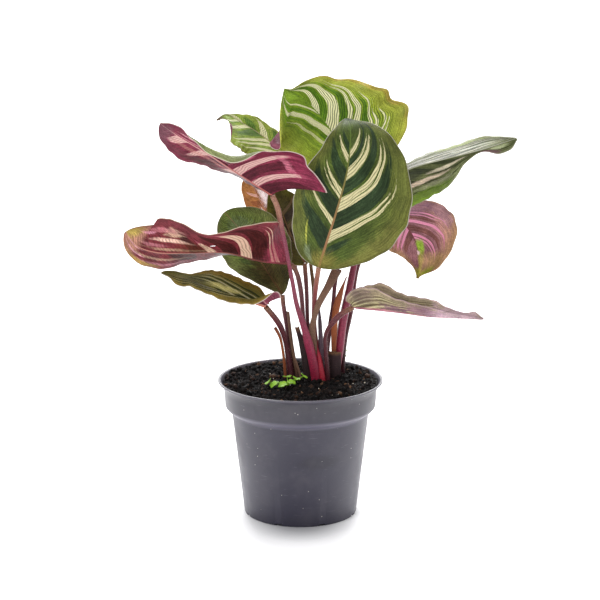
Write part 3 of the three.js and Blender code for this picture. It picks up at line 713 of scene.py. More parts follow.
@dataclass(frozen=True)
class LeafSkin:
    """Colours and gloss of one side of a leaf."""

    field: Colour
    margin: Colour
    oval: Colour
    stripe: Colour
    glow: Colour
    line: Colour
    rib_base: Colour
    rib_tip: Colour
    edge: Colour
    softness: float = .05
    halo: float = .15
    jitter: float = .16
    line_strength: float = .4
    rib_width: float = .9
    roughness: float = .42
    patches: tuple[Patch, ...] = ()

    COLOURS = ("field", "margin", "oval", "stripe", "glow", "line", "rib_base", "rib_tip", "edge")
    VALUES = ("softness", "halo", "jitter", "line_strength", "rib_width", "roughness")
    RELIEF = .18

    def material(self, name: str, halves: tuple[Half, Half], veins: int,
                 effects: Effects) -> Material:
        """Material of one side of a leaf.

        Args:
            name: the material's name.
            halves: the left and right half, with their marks.
            veins: side veins along the leaf.
            effects: the shared node groups.

        Returns:
            The material.
        """
        finish = Finish(name)
        forth, sideways = finish.pair("blade")
        vein, _ = finish.pair("veins")
        rib, edge = finish.pair("reach")
        signed = finish.fused(sideways, 2.0, -1.0)
        on_right = finish.math("GREATER_THAN", signed, 0.0)
        given = {key.title(): linear(getattr(self, key)) for key in self.COLOURS}
        given |= {key.title(): getattr(self, key) for key in self.VALUES}
        for title, kind in (("Stripe_Height", "stripes"), ("Oval_Height", "ovals")):
            left, right = (curve_value(finish, vein, getattr(half, kind)) for half in halves)
            given[title] = finish.node("Mix", {0: on_right, 2: left, 3: right}).outputs[0]
        tissue = finish.use(
            effects.tissue, **given, Along=forth, Across=finish.math("ABSOLUTE", signed),
            Vein=vein, Vein_Count=2.8 * veins, Rib_Distance=finish.mul(rib, Blade.MAP_SCALE),
            Edge_Distance=finish.mul(edge, Blade.MAP_SCALE))
        colour, shade = tissue["Color"], finish.join(*[tissue["Tone"]] * 3)
        for patch in self.patches:
            mask = finish.use(
                effects.patch, Along=forth, Sideways=signed, Centre_Along=patch.along,
                Centre_Sideways=patch.sideways, Half_Length=patch.length, Half_Width=patch.width,
                Ragged=patch.ragged)[0]
            share = finish.mul(finish.mul(mask, patch.strength), tissue["Between"])
            shaded = finish.mix(.85, linear(patch.colour), shade, "MULTIPLY")
            colour = finish.mix(share, colour, shaded)
        return finish.done(colour, tissue["Roughness"], .1, (tissue["Height"], self.RELIEF, .8))


# ---------------- leaves


@dataclass(frozen=True)
class Blade:
    """A leaf blade around its midrib, as a fine thickened surface.

    spine holds the midrib from base to tip and face the directions that the upper side
    looks; quilt is the depth of the swells between its side veins, scallop the share of a
    half's width that its margin goes in and out, and ripple the height of the margin's small
    ripples; hole, if there is one, is the place and size of a small hole, as a patch's first
    four values.
    """

    MAP_SCALE = 100.0                       # millimetres to a full step of the reach map
    ROWS = 110
    HALF_COLUMNS = 30
    MIDDLE = .34                           # half thickness along the midrib
    THINNER = .55                          # share of it that is gone at the margin
    RIB_DEPTH = .9
    RIB_WIDTH = 1.1
    GROOVE_DEPTH = .18
    GROOVE_WIDTH = .9
    NARROWEST = .5
    SLOPE_STEP = .002
    CURL_STEPS = 12
    WAVE_REACH = .6
    BUMPS = 7                               # scallops along a margin
    RIPPLES = 11                            # small ripples along a margin
    END_TAPER = 60                          # how soon the thickness drops at both ends
    BUNCHING = .15                         # how much the veins crowd near the margin

    name: str
    slot: str
    spine: tuple[Point, ...]
    face: tuple[Point, ...]
    left: Half
    right: Half
    upper: LeafSkin
    under: LeafSkin
    veins: int = 30
    quilt: float = .16
    scallop: float = .012
    ripple: float = .3
    hole: tuple[float, float, float, float] | None = None

    def surface(self, row: Array, across: Array) -> Array:
        """Points of the blade's middle surface.

        Args:
            row: row parameters, 0 at the base to 1 at the tip.
            across: -1 at the left margin to 1 at the right one.

        Returns:
            The points, in millimetres.
        """
        route = Route(list(self.spine))
        faces = unit(np.array(self.face, float))
        share = (1 - np.cos(np.pi * row)) / 2
        points = np.zeros(row.shape + (3,))
        for half, sign, chosen in ((self.left, -1, across < 0), (self.right, 1, across >= 0)):
            u, r, a = share[chosen], row[chosen], np.abs(across[chosen])
            distance = u * route.length - half.lobe * (1 - u) ** 3 * a**2
            origin, ahead = route.at(distance / route.length)
            origin = origin + ahead * np.minimum(0, distance)[:, None]
            place = np.minimum(np.clip(distance / route.length, 0, 1) * (len(faces) - 1),
                               len(faces) - 1.0001)
            index = place.astype(int)
            blend = (place - index)[:, None]
            up = faces[index] * (1 - blend) + faces[index + 1] * blend
            up = unit(up - ahead * np.sum(up * ahead, axis=1, keepdims=True))
            side = np.cross(ahead, up)
            width = flowing(half.widths, r, self.NARROWEST)
            width = width * (1 + self.scallop * np.sin(2 * np.pi * self.BUMPS * u + 2 * sign))
            fold, curl = along(half.fold, u), along(half.curl, u)
            out, lift = np.zeros_like(a), np.zeros_like(a)
            for i in range(self.CURL_STEPS):
                angle = np.radians(fold + curl * (a * (i + .5) / self.CURL_STEPS) ** 2)
                out += np.cos(angle) * width * a / self.CURL_STEPS
                lift += np.sin(angle) * width * a / self.CURL_STEPS
            height, count, phase = half.wave
            envelope = np.minimum(1, width / (self.WAVE_REACH * max(half.widths)))
            lift += height * envelope * a**2 * np.sin(2 * np.pi * (count * u + phase))
            lift += self.ripple * envelope * a**4 * np.sin(2 * np.pi * (self.RIPPLES * u + phase))
            points[chosen] = origin + side * (sign * out)[:, None] + up * lift[:, None]
        return points

    def build(self, effects: Effects) -> None:
        """Builds the blade's mesh and dresses both of its sides.

        Args:
            effects: the shared node groups.
        """
        rows, columns = self.ROWS + 1, 2 * self.HALF_COLUMNS + 1
        row, v = np.meshgrid(np.linspace(0, 1, rows), np.linspace(-1, 1, columns), indexing="ij")
        a, u, small = np.abs(v), (1 - np.cos(np.pi * row)) / 2, self.SLOPE_STEP
        r_in, v_in = np.clip(row, small, 1 - small), np.clip(v, -1 + small, 1 - small)
        lengthwise = self.surface(r_in + small, v_in) - self.surface(r_in - small, v_in)
        crosswise = self.surface(r_in, v_in + small) - self.surface(r_in, v_in - small)
        normal = unit(np.cross(crosswise, lengthwise))
        middle = self.surface(row, v)

        widths = np.where(v < 0, flowing(self.left.widths, row, self.NARROWEST),
                          flowing(self.right.widths, row, self.NARROWEST))
        slant = np.where(v < 0, self.left.slant, self.right.slant)
        start, span = Effects.VEIN_START, Effects.VEIN_SPAN
        bunch = self.BUNCHING * a**2 / (1 + self.BUNCHING - a)
        vein = u - slant * (a + bunch) * (.9 + .4 * u)
        vein = np.clip(vein, start, start + span)
        swell = np.abs(np.cos(math.pi * vein * self.veins / 2)) ** .7
        relief = self.quilt * (swell - .6) * np.clip(4 * a, 0, 1) * np.clip(4 * (1 - a), 0, 1)
        groove = -self.GROOVE_DEPTH * np.exp(-((widths * a / self.GROOVE_WIDTH) ** 2))
        rib = self.RIB_DEPTH * (1 - .8 * row) * np.exp(-((widths * a / self.RIB_WIDTH) ** 2))
        half = self.MIDDLE * (1 - self.THINNER * a**4)
        ends = np.clip(np.minimum(u, 1 - u) * self.END_TAPER, .5, 1)
        upper = middle + normal * (half * ends + (relief + groove) * ends)[..., None]
        lower = middle - normal * (half * ends + (rib - relief) * ends)[..., None]
        points = np.concatenate([upper.reshape(-1, 3), lower.reshape(-1, 3)])

        total = rows * columns
        quads = grid_faces(rows, columns)
        if self.hole:
            quads = quads[~self.holed(u, v, quads)]
        a_end, b_end = self.border(total, quads)
        rim = np.stack([a_end, a_end + total, b_end + total, b_end], axis=1)
        faces = [*quads.tolist(), *(quads[:, ::-1] + total).tolist(), *rim.tolist()]
        picks = np.repeat([Face.UPPER.value, Face.UNDER.value, Face.UNDER.value],
                          [len(quads), len(quads), len(rim)])
        maps = {"blade": (u, .5 + v / 2), "veins": ((vein - start) / span, a),
                "reach": (widths * a / self.MAP_SCALE, widths * (1 - a) / self.MAP_SCALE)}
        doubled = {title: np.tile(np.stack(pair, axis=-1).reshape(-1, 2), (2, 1))
                   for title, pair in maps.items()}
        skins = tuple(
            skin.material(f"{self.name}_{face.name.lower()}", (self.left, self.right),
                          self.veins, effects)
            for face, skin in zip(Face, (self.upper, self.under)))
        piece = build_object(f"{self.name}_leaf", points, faces, doubled, skins, picks)
        settle(face_outward(piece), self.slot, self.name)

    @staticmethod
    def border(total: int, quads: Array) -> Array:
        """Finds the edges that belong to one quad only.

        Args:
            total: number of vertices.
            quads: the quads.

        Returns:
            The first corners of these edges and the last ones, in the quads' own order.
        """
        edges = np.concatenate([quads[:, [k, (k + 1) % 4]] for k in range(4)])
        key = np.sort(edges, axis=1) @ np.array([total, 1])
        _, first, counts = np.unique(key, return_index=True, return_counts=True)
        return edges[first[counts == 1]].T

    def holed(self, u: Array, v: Array, quads: Array) -> Array:
        """Finds the quads that lie in the blade's hole.

        Args:
            u: share of the midrib's length for each vertex.
            v: place across the blade for each vertex, -1 to 1.
            quads: the blade's quads.

        Returns:
            True for each quad in the hole.
        """
        place, sideways, length, width = self.hole
        far = ((u.ravel() - place) / length) ** 2 + ((v.ravel() - sideways) / width) ** 2
        return far[quads].mean(axis=1) < 1


def patched(*rows: tuple) -> tuple[Patch, ...]:
    """Patches from rows of their values."""
    return tuple(Patch(*row) for row in rows)


# Colours of the leaves' sides. Some of their patches are painted highlights, painted sheen and
# painted shade, each noted where it stands.

DEEP_GREEN = LeafSkin(
    (72, 86, 36), (98, 101, 46), (42, 57, 34), (216, 205, 160), (104, 116, 60), (24, 40, 16),
    (150, 108, 76), (84, 104, 44), (176, 172, 156), softness=.03, halo=.04, jitter=.32,
    line_strength=.5, rib_width=1.3, roughness=.46,
    patches=patched(
        (0, 0, .12, .8, (124, 112, 54), .75, .9), (.16, .85, .26, .22, (120, 116, 60), .5, 1.6),
        (.66, .88, .22, .12, (96, 104, 50), .45, 1.6),
        (.2, -.85, .26, .2, (104, 110, 56), .45, 1.6), (.2, -.62, .09, .03, (168, 168, 74), .8, 1),
        # the last patch, across the tip, is a painted highlight
        (.08, -.6, .06, .14, (132, 144, 110), .7, 1.4), (.98, 0, .03, 1.2, (70, 82, 62), .7, .8)))
BRIGHT_GREEN = LeafSkin(
    (116, 144, 34), (172, 176, 68), (88, 124, 26), (238, 234, 186), (152, 168, 80), (22, 56, 10),
    (120, 140, 60), (96, 124, 40), (190, 186, 118), softness=.03, halo=.04, jitter=.3,
    line_strength=1, rib_width=.9,
    patches=patched(
        (.1, -.3, .12, .5, (84, 122, 70), .6, .9), (.4, -.9, .3, .16, (184, 190, 92), .6, 1.6),
        (.5, -.6, .4, .4, (150, 168, 62), .55, 1.2), (.62, .97, .3, .06, (176, 130, 66), .5, 1.6)))
CREAM_GREEN = LeafSkin(
    (136, 158, 64), (152, 166, 66), (92, 122, 50), (236, 234, 186), (168, 178, 108), (56, 84, 30),
    (150, 150, 90), (150, 140, 110), (196, 196, 160), softness=.04, halo=.06, jitter=.3,
    line_strength=.8, rib_width=.9,
    patches=patched((.98, 0, .05, 1.2, (116, 72, 88), .8, .8)))
ROSE_UNDER = LeafSkin(
    (112, 40, 58), (122, 42, 66), (76, 24, 36), (214, 176, 166), (168, 76, 100), (70, 24, 36),
    (170, 96, 90), (206, 150, 146), (200, 180, 172), softness=.05, halo=.16, line_strength=.5,
    rib_width=1, roughness=.34,
    patches=patched(
        # the next two patches are painted highlights: a pink streak across the left half, and the
        # highlight on its fold
        (.37, -.5, .03, .2, (206, 110, 136), .7, 1),
        (.19, -.72, .09, .06, (198, 112, 132), .6, 2.2),
        (.74, -.42, .12, .08, (216, 150, 160), .75, 1.6),
        (.66, -.12, .26, .07, (196, 132, 142), .6, 1.6), (.45, .7, .4, .28, (66, 42, 38), .75, .9),
        (.62, .3, .3, .1, (176, 120, 112), .5, 1.3), (.95, .2, .08, 1, (112, 76, 86), .7, .9)))
PLUM_UNDER = LeafSkin(
    (106, 40, 46), (116, 52, 58), (66, 26, 26), (218, 190, 160), (178, 84, 104), (56, 24, 26),
    (120, 66, 62), (176, 118, 104), (196, 172, 150), softness=.045, halo=.14, line_strength=.5,
    rib_width=1.1, roughness=.36,
    patches=patched(
        (.1, -.5, .09, .8, (160, 64, 86), .7, 1), (.72, -.62, .06, .16, (214, 180, 150), .7, 2),
        (.72, -.38, .13, .07, (222, 184, 164), .9, 1.2),
        (.66, -.1, .2, .05, (186, 156, 126), .6, 1.2),
        (.78, -.66, .13, .09, (172, 104, 112), .75, 1.2),
        (.84, -.2, .1, .06, (180, 116, 124), .6, 1.2),
        (.78, .4, .18, .08, (190, 156, 130), .6, 1.2),
        (.74, .72, .16, .08, (180, 120, 130), .6, 1.2), (.86, .85, .12, .15, (176, 150, 76), .7, 1),
        (.95, .1, .07, 1.2, (178, 132, 110), .75, .9),
        (.91, .5, .07, .06, (214, 156, 168), .8, 1.6),
        (.93, .1, .06, .05, (206, 150, 160), .8, 1.6),
        (.9, -.55, .08, .06, (208, 140, 156), .8, 1.6),
        (.98, -.4, .04, .5, (168, 156, 60), .7, 1.6), (.6, -.2, .1, .3, (94, 44, 28), .6, 1)))
MAUVE_UNDER = LeafSkin(
    (156, 108, 112), (186, 146, 106), (124, 80, 74), (240, 158, 190), (196, 118, 140), (96, 56, 60),
    (120, 60, 72), (110, 74, 56), (184, 156, 118), softness=.05, halo=.12, line_strength=.45,
    rib_width=.8,
    patches=patched(
        (.6, .07, .12, .11, (140, 178, 48), 1, 1), (.78, .02, .16, .16, (168, 164, 72), .9, 1.2),
        (.88, .6, .07, .26, (146, 184, 36), 1, 1), (.66, -.03, .035, .07, (240, 210, 214), .9, 1.6),
        (.93, 0, .08, 1.2, (178, 180, 50), .75, 1.6), (.8, .6, .12, .3, (150, 130, 52), .55, 1.2),
        (.3, .85, .26, .2, (148, 108, 124), .8, 1.2), (.12, .6, .14, .4, (140, 104, 122), .7, 1),
        (.8, .3, .14, .4, (200, 162, 112), .6, 1.4)))
COPPER_UNDER = LeafSkin(
    (168, 112, 62), (160, 104, 54), (138, 84, 50), (226, 178, 164), (190, 128, 96), (120, 70, 40),
    (150, 96, 70), (176, 120, 90), (206, 166, 124), softness=.05, halo=.1, roughness=.38,
    line_strength=.55,
    patches=patched(
        # the three near-white patches are painted highlights
        (.4, .2, .14, .16, (246, 220, 222), 1, 1.6), (.62, -.4, .34, .36, (254, 246, 246), 1, 1.6),
        (.4, -.7, .14, .2, (250, 236, 232), .9, 1.4), (.3, -.1, .08, .3, (222, 160, 120), .7, 1.8)))
MAROON_UNDER = LeafSkin(
    (122, 58, 76), (130, 70, 86), (94, 38, 52), (212, 166, 158), (176, 96, 114), (92, 38, 52),
    (196, 128, 110), (190, 140, 140), (206, 180, 174), softness=.1, halo=.3, line_strength=.45,
    rib_width=1.4, roughness=.4)
FLAP_GREEN = LeafSkin(
    (108, 116, 66), (128, 134, 90), (92, 104, 50), (150, 148, 120), (128, 130, 92), (76, 88, 40),
    (150, 140, 100), (150, 130, 110), (206, 200, 176), softness=.12, halo=.3, roughness=.42,
    line_strength=.6)
BOAT_OLIVE = LeafSkin(
    (118, 112, 56), (140, 118, 52), (44, 52, 26), (204, 198, 170), (128, 124, 76), (64, 62, 30),
    (120, 92, 62), (140, 120, 84), (196, 190, 178), softness=.07, halo=.16, roughness=.38,
    line_strength=.65,
    patches=patched(
        (.03, -.4, .07, .7, (88, 42, 56), .9, .9), (.42, .25, .2, .17, (206, 196, 124), .85, 1.3),
        (.3, .9, .4, .14, (122, 92, 30), .6, 1.2), (.75, 0, .16, .9, (112, 112, 88), .5, 1.2)))
DULL_GREEN = LeafSkin(
    (110, 124, 62), (116, 122, 70), (78, 94, 50), (104, 92, 56), (84, 86, 48), (44, 56, 24),
    (136, 96, 64), (150, 116, 84), (140, 136, 104), softness=.08, halo=.14, rib_width=1,
    roughness=.38, line_strength=.7,
    patches=patched(
        (.32, .12, .3, .1, (96, 70, 40), .7, 1.4), (.36, -.2, .3, .1, (72, 54, 30), .6, 1.4),
        # the patch at .78 along is a painted highlight; the dark one at .16 along and the two dark
        # ones after it are painted shade over the leaf's lower part, where the blade above shades
        # it
        (.78, 0, .14, .5, (132, 148, 112), .5, 2.2), (.16, 0, .34, 1.3, (68, 52, 28), .95, 1.2),
        (.3, .7, .3, .3, (44, 40, 22), .6, 1.2), (.3, -.7, .24, .3, (50, 46, 26), .5, 1.2)))
DARK_OLIVE = LeafSkin(
    (74, 72, 30), (92, 92, 28), (46, 36, 20), (124, 102, 72), (84, 72, 40), (44, 38, 18),
    (110, 80, 56), (120, 96, 60), (140, 126, 90), softness=.06, halo=.12, roughness=.42,
    line_strength=.6,
    patches=patched((.6, .3, .5, .7, (50, 38, 22), .5, .9)))
SILVER_GREEN = LeafSkin(
    (92, 98, 60), (124, 130, 92), (56, 62, 34), (214, 208, 190), (134, 132, 104), (56, 64, 34),
    (130, 132, 104), (160, 160, 140), (190, 188, 172), softness=.06, halo=.14, roughness=.34,
    line_strength=.6,
    patches=patched(
        (.34, -.2, .3, .12, (128, 130, 116), .7, 1.6),
        # the three near-white lengthwise streaks on the left half are painted sheen highlights
        (.42, -.55, .36, .05, (226, 228, 218), .7, 2), (.3, -.1, .26, .04, (230, 226, 218), .7, 2),
        (.72, -.35, .2, .05, (218, 222, 206), .7, 2), (.7, -.8, .2, .07, (150, 166, 84), .7, 1.8),
        (.86, .3, .08, .2, (196, 204, 160), .7, 2), (.36, .66, .2, .08, (150, 150, 118), .7, 2.2),
        (.6, -.6, .3, .12, (112, 116, 92), .6, 2), (.84, -.3, .1, .16, (130, 134, 100), .6, 2),
        (.2, .2, .16, .16, (52, 56, 44), .8, .9), (.28, .47, .24, .07, (226, 204, 178), 1, 1),
        (.5, .3, .16, .07, (216, 204, 176), .95, 1), (.24, .88, .3, .22, (96, 124, 20), .85, 1.8),
        (.8, .7, .08, .3, (124, 84, 100), .7, .9)))
GREY_PURPLE = LeafSkin(
    (168, 154, 116), (156, 140, 118), (112, 100, 76), (232, 224, 176), (158, 146, 106),
    (92, 82, 60), (150, 96, 104), (200, 150, 166), (150, 126, 128), softness=.07, halo=.14,
    jitter=.34, roughness=.4, line_strength=.5,
    patches=patched(
        (.36, .2, .12, .3, (122, 86, 104), .85, 3), (.58, .4, .16, .6, (158, 112, 136), .85, 2.6),
        (.12, .6, .12, .4, (106, 84, 90), .6, 2.2), (.3, -.5, .2, .4, (104, 88, 84), .55, 2.2),
        (.82, 0, .24, 1.2, (206, 172, 190), .85, 1.8),
        (.4, .02, .6, .07, (190, 120, 136), .7, 1.2)))

BLADES = (
    Blade("blade_a_large_front", "leaf_dark_green",
        spine=((13, -17, 187), (20, -22, 211), (26, -24, 231), (33, -25, 259), (35, -20, 278),
               (35, -11, 287), (33, 3, 291)),
        face=((0, -1, .2), (0, -1, .2), (0, -.4, 1)),
        left=Half((1, 17, 29, 33, 19, 7, 1), (15, 15, 10), (1, 2, 0),
            curl=(10, 0, -20), slant=.21,
            stripes=((.29, .018, .66), (.445, .007, .6), (.476, .015, .6), (.67, .022, .46)),
            ovals=((.16, .07, .85), (.365, .055, .8), (.56, .05, .7), (.73, .03, .4))),
        right=Half((1, 20, 43, 51, 35, 8, 1), (12, 12, 10), (1.2, 2, .5),
            curl=(0, 0, -20), slant=.37,
            stripes=((.17, .02, .76), (.214, .022, .66), (.372, .018, .74), (.416, .026, .64),
                     (.57, .024, .46), (.61, .012, .4), (.7, .022, .27)),
            ovals=((.3, .075, .74), (.5, .045, .72), (.645, .02, .5), (.08, .04, .4))),
        upper=DEEP_GREEN, under=MAROON_UNDER),
    Blade("blade_b_tall_back", "leaf_bright_green",
        spine=((47, 18, 232), (35, 27, 257), (22, 34, 277), (10, 39, 292), (-1, 41, 301),
               (-12, 40, 306)),
        face=((-.2, -1, .5), (0, -1, .7), (0, -.7, .8)),
        left=Half((1, 16, 30, 41, 44, 54, 3), (10, 10, 5), (1.5, 2.5, 0),
            slant=.85,
            stripes=((.24, .045, .5), (.48, .065, .5), (.7, .018, .3)),
            ovals=((.12, .05, .6), (.36, .04, .6), (.6, .04, .5))),
        right=Half((1, 4, 12, 24, 40, 56, 52, 46, 34, 21, 5, 2, 2), (5, 5, 5), (2.2, 3.5, .2),
            curl=(0, 0, -10), slant=.36,
            stripes=((.06, .02, .7), (.1, .02, .78), (.175, .022, .66), (.22, .02, .76),
                     (.33, .034, .8), (.398, .026, .7), (.545, .058, .78), (.72, .04, .6)),
            ovals=((.26, .035, .7), (.455, .035, .7), (.645, .04, .7))),
        upper=BRIGHT_GREEN, under=MAROON_UNDER, quilt=.34, scallop=.03, ripple=.9),
    Blade("blade_c_small_back", "leaf_bright_green",
        spine=((-6, 40, 246), (-16, 48, 260), (-27, 54, 269), (-41, 56, 278), (-55, 54, 285),
               (-61, 50, 282)),
        face=((.3, -.6, .9), (.3, -.4, 1)),
        left=Half((1, 6, 12, 18, 24, 28, 32, 34, 36, 29, 5, 1, 1), (5, 5, 5), (.6, 2, 0),
            slant=.3,
            stripes=((.18, .03, .8), (.3, .03, .8), (.39, .03, .75), (.64, .03, .7),
                     (.76, .02, .6)),
            ovals=((.52, .07, .5), (.75, .03, .5))),
        right=Half((1, 4, 8, 12, 13, 11, 11, 12, 7, 2, 1, 1, 1), (20, 20, 20), (.6, 2, .5),
            stripes=((.45, .05, .8), (.75, .05, .8)),
            ovals=((.6, .06, .6), (.27, .08, .9))),
        upper=CREAM_GREEN, under=MAROON_UNDER, quilt=.2),
    Blade("blade_d_purple_upper", "leaf_maroon",
        spine=((-20, -30, 242), (-32, -35, 251), (-49, -39, 263), (-66, -42, 275), (-82, -44, 285),
               (-97, -42, 295)),
        face=((0, .9, .5), (0, .8, .6), (.2, .8, .6)),
        left=Half((27, 29, 32, 36, 43, 33, 18, 12, 10, 9, 6, 2, 1), (0, 0), (.6, 2, 0),
            lobe=28, curl=(0, 0, -10, -25, -130, -165, -90, 0, 0), slant=-.08,
            stripes=((.165, .03, .78), (.33, .035, .82)),
            ovals=((.07, .05, .8), (.25, .04, .8), (.5, .08, .6))),
        right=Half((6, 12, 15, 16, 19, 13, 1), (55, 45, 20, 0, -10), (.8, 2, .5),
            lobe=6,
            stripes=((.32, .05, .6), (.6, .04, .6), (.8, .05, .5)),
            ovals=((.2, .06, .7), (.46, .06, .8))),
        upper=FLAP_GREEN, under=ROSE_UNDER),
    Blade("blade_e_purple_middle", "leaf_maroon",
        spine=((-7, -5, 187), (-27, -14, 191), (-53, -26, 200), (-79, -36, 202), (-101, -43, 204),
               (-114, -45, 209), (-122, -45, 219)),
        face=((0, .95, .3), (0, .95, .3)),
        left=Half((3, 26, 38, 19, 28, 21, 1), (10, -10, -20, 0, 0), (.8, 2.5, 0),
            lobe=-9, slant=.15,
            stripes=((.076, .01, .85), (.108, .009, .8), (.274, .033, .85), (.475, .024, .5)),
            ovals=((.18, .06, .9), (.37, .045, .9), (.55, .045, .7))),
        right=Half((4, 12, 18, 17, 19, 8, 1), (60, 55, 40, 20, 0), (1, 2.5, .5),
            lobe=2, slant=-.1,
            ovals=((.3, .2, .8), (.66, .08, .6))),
        upper=FLAP_GREEN, under=PLUM_UNDER, hole=(.487, -.33, .014, .055)),
    Blade("blade_f_boat_lower", "leaf_olive",
        spine=((-25, -16, 158), (-38, -22, 164), (-56, -30, 172), (-73, -36, 180), (-86, -39, 186),
               (-98, -40, 188)),
        face=((0, -.3, 1), (0, -.3, 1)),
        left=Half(
            (10, 12, 14, 15, 15, 16, 16, 11, 9, 16, 6, 2, 1), (95, 30, 25, 20, 20), (.6, 2.5, 0),
            lobe=8, curl=(0, -80, -60), slant=.6,
            stripes=((-.1, .012, .9), (.1, .014, .9), (.32, .012, .9), (.6, .014, .9)),
            ovals=((0, .06, .9), (.22, .05, .9), (.43, .05, .9))),
        right=Half((4, 20, 20, 21, 6, 4, 1), (15, 15, 10), (1, 2.5, .5),
            lobe=4, curl=(10, 10, 20), slant=.6,
            stripes=((-.08, .02, .8), (.1, .025, .66), (.3, .02, .5)),
            ovals=((-.2, .06, .8), (0, .05, .8), (.2, .06, .75), (.4, .06, .7))),
        upper=BOAT_OLIVE, under=MAROON_UNDER),
    Blade("blade_g_round_middle", "leaf_dark_green",
        spine=((-13, 5, 162), (-26, 9, 181), (-40, 14, 203), (-55, 19, 220)),
        face=((-.3, -.8, .6), (-.3, -.6, .8)),
        left=Half((1, 4, 12, 22, 21, 12, 1), (12, 12, 12), (1, 2, 0),
            stripes=((.3, .015, .5), (.5, .015, .5)),
            ovals=((.4, .06, .6), (.6, .06, .6))),
        right=Half((1, 9, 21, 28, 23, 11, 1), (12, 12, 12), (1, 2, .5),
            stripes=((.3, .015, .5), (.5, .015, .5), (.66, .015, .5)),
            ovals=((.4, .06, .6), (.6, .04, .6))),
        upper=DULL_GREEN, under=MAROON_UNDER),
    Blade("blade_h_copper_back", "leaf_copper",
        spine=((-12, 42, 195), (-24, 48, 213), (-33, 52, 229), (-38, 52, 240)),
        face=((0, 1, .3), (0, .9, .4)),
        left=Half((1, 8, 12, 12, 10, 6, 1), (10, 10), (.8, 2, 0),
            stripes=((.6, .03, .7), (.35, .025, .6)),
            ovals=((.5, .04, .6),)),
        right=Half((1, 10, 15, 14, 12, 8, 1), (10, 10), (.8, 2, .5),
            stripes=((.45, .03, .6), (.7, .025, .6)),
            ovals=((.57, .05, .6),)),
        upper=DULL_GREEN, under=COPPER_UNDER),
    Blade("blade_i_olive_back", "leaf_olive",
        spine=((3, 12, 184), (-8, 27, 204), (-15, 34, 221), (-20, 36, 234)),
        face=((0, -.9, .4), (0, -.8, .5)),
        left=Half((1, 10, 15, 15, 11, 6, 1), (10, 10), (.8, 2, 0),
            lobe=2,
            stripes=((.4, .03, .6),),
            ovals=((.5, .05, .5),)),
        right=Half((1, 10, 17, 19, 16, 9, 1), (10, 10), (.8, 2, .5),
            lobe=2,
            stripes=((.3, .025, .9), (.5, .025, .9), (.68, .02, .8)),
            ovals=((.4, .05, .9), (.6, .05, .9))),
        upper=DARK_OLIVE, under=MAROON_UNDER),
    Blade("blade_j_drooping_right", "leaf_dark_green",
        spine=((56, 22, 239), (81, 36, 249), (107, 48, 254), (134, 58, 259), (160, 66, 266)),
        face=((0, -.2, 1), (0, -.3, 1)),
        left=Half((1, 10, 16, 24, 25, 8, 1), (-12, -12, 0), (1, 2.5, 0),
            slant=.9,
            stripes=((-.3, .03, .95), (-.1, .02, .95), (.1, .03, .95), (.35, .02, .9),
                     (.58, .02, .9)),
            ovals=((-.2, .05, .95), (0, .05, .95), (.22, .06, .9), (.46, .05, .9))),
        right=Half(
            (2, 14, 23, 25, 26, 24, 18, 7, 2, 7, 7, 3, 1), (-45, -50, -60, -30), (.8, 2.5, .5),
            curl=(-10, -10, 0), slant=.6,
            ovals=((-.3, .06, .9), (-.05, .06, .9), (.2, .06, .9), (.42, .06, .8))),
        upper=SILVER_GREEN, under=MAROON_UNDER),
    Blade("blade_k_purple_right", "leaf_maroon",
        spine=((69, 34, 217), (79, 40, 204), (86, 42, 190), (88, 40, 178), (86, 34, 167)),
        face=((0, 1, .2), (0, 1, .1)),
        left=Half((3, 14, 20, 20, 10, 2, 1), (0, 0), (1.2, 2.5, .5),
            lobe=3, slant=.3,
            stripes=((.22, .03, .7), (.3, .025, .6), (.12, .03, .8)),
            ovals=((.38, .06, .6),)),
        right=Half((8, 17, 30, 33, 20, 4, 1), (0, 0), (1.2, 2.5, 0),
            slant=.46,
            stripes=((-.04, .02, .78), (.16, .03, .7), (.02, .012, .66), (.4, .02, .6),
                     (.45, .012, .5)),
            ovals=((.29, .05, .6), (.07, .04, .6))),
        upper=DULL_GREEN, under=MAUVE_UNDER),
    Blade("blade_l_narrow_right", "leaf_grey_green",
        spine=((38, -14, 157), (53, -24, 158), (72, -34, 158), (91, -41, 157), (109, -45, 157),
               (129, -46, 156)),
        face=((0, -.2, 1), (0, -.2, 1)),
        left=Half((5, 12, 14, 17, 19, 14, 12, 12, 7, 4, 5, 2, 1), (65, 65, 50), (.5, 2.5, 0),
            lobe=2, slant=.8,
            stripes=((-.4, .012, .9), (-.2, .014, .9), (0, .02, .85), (.2, .012, .8)),
            ovals=((-.3, .04, .95), (-.1, .04, .95), (.1, .04, .9), (.3, .04, .9))),
        right=Half((5, 10, 15, 19, 19, 12, 10, 9, 5, 3, 2, 1, 1), (75, 75, 60), (.6, 2, .5),
            lobe=5, slant=.8,
            stripes=((-.4, .012, .9), (-.25, .02, .9), (-.08, .014, .85), (.1, .02, .85),
                     (.28, .014, .8)),
            ovals=((-.32, .03, .95), (-.16, .03, .95), (.01, .04, .9), (.19, .04, .9))),
        upper=GREY_PURPLE, under=GREY_PURPLE))


# ---------------- stalks and sheaths


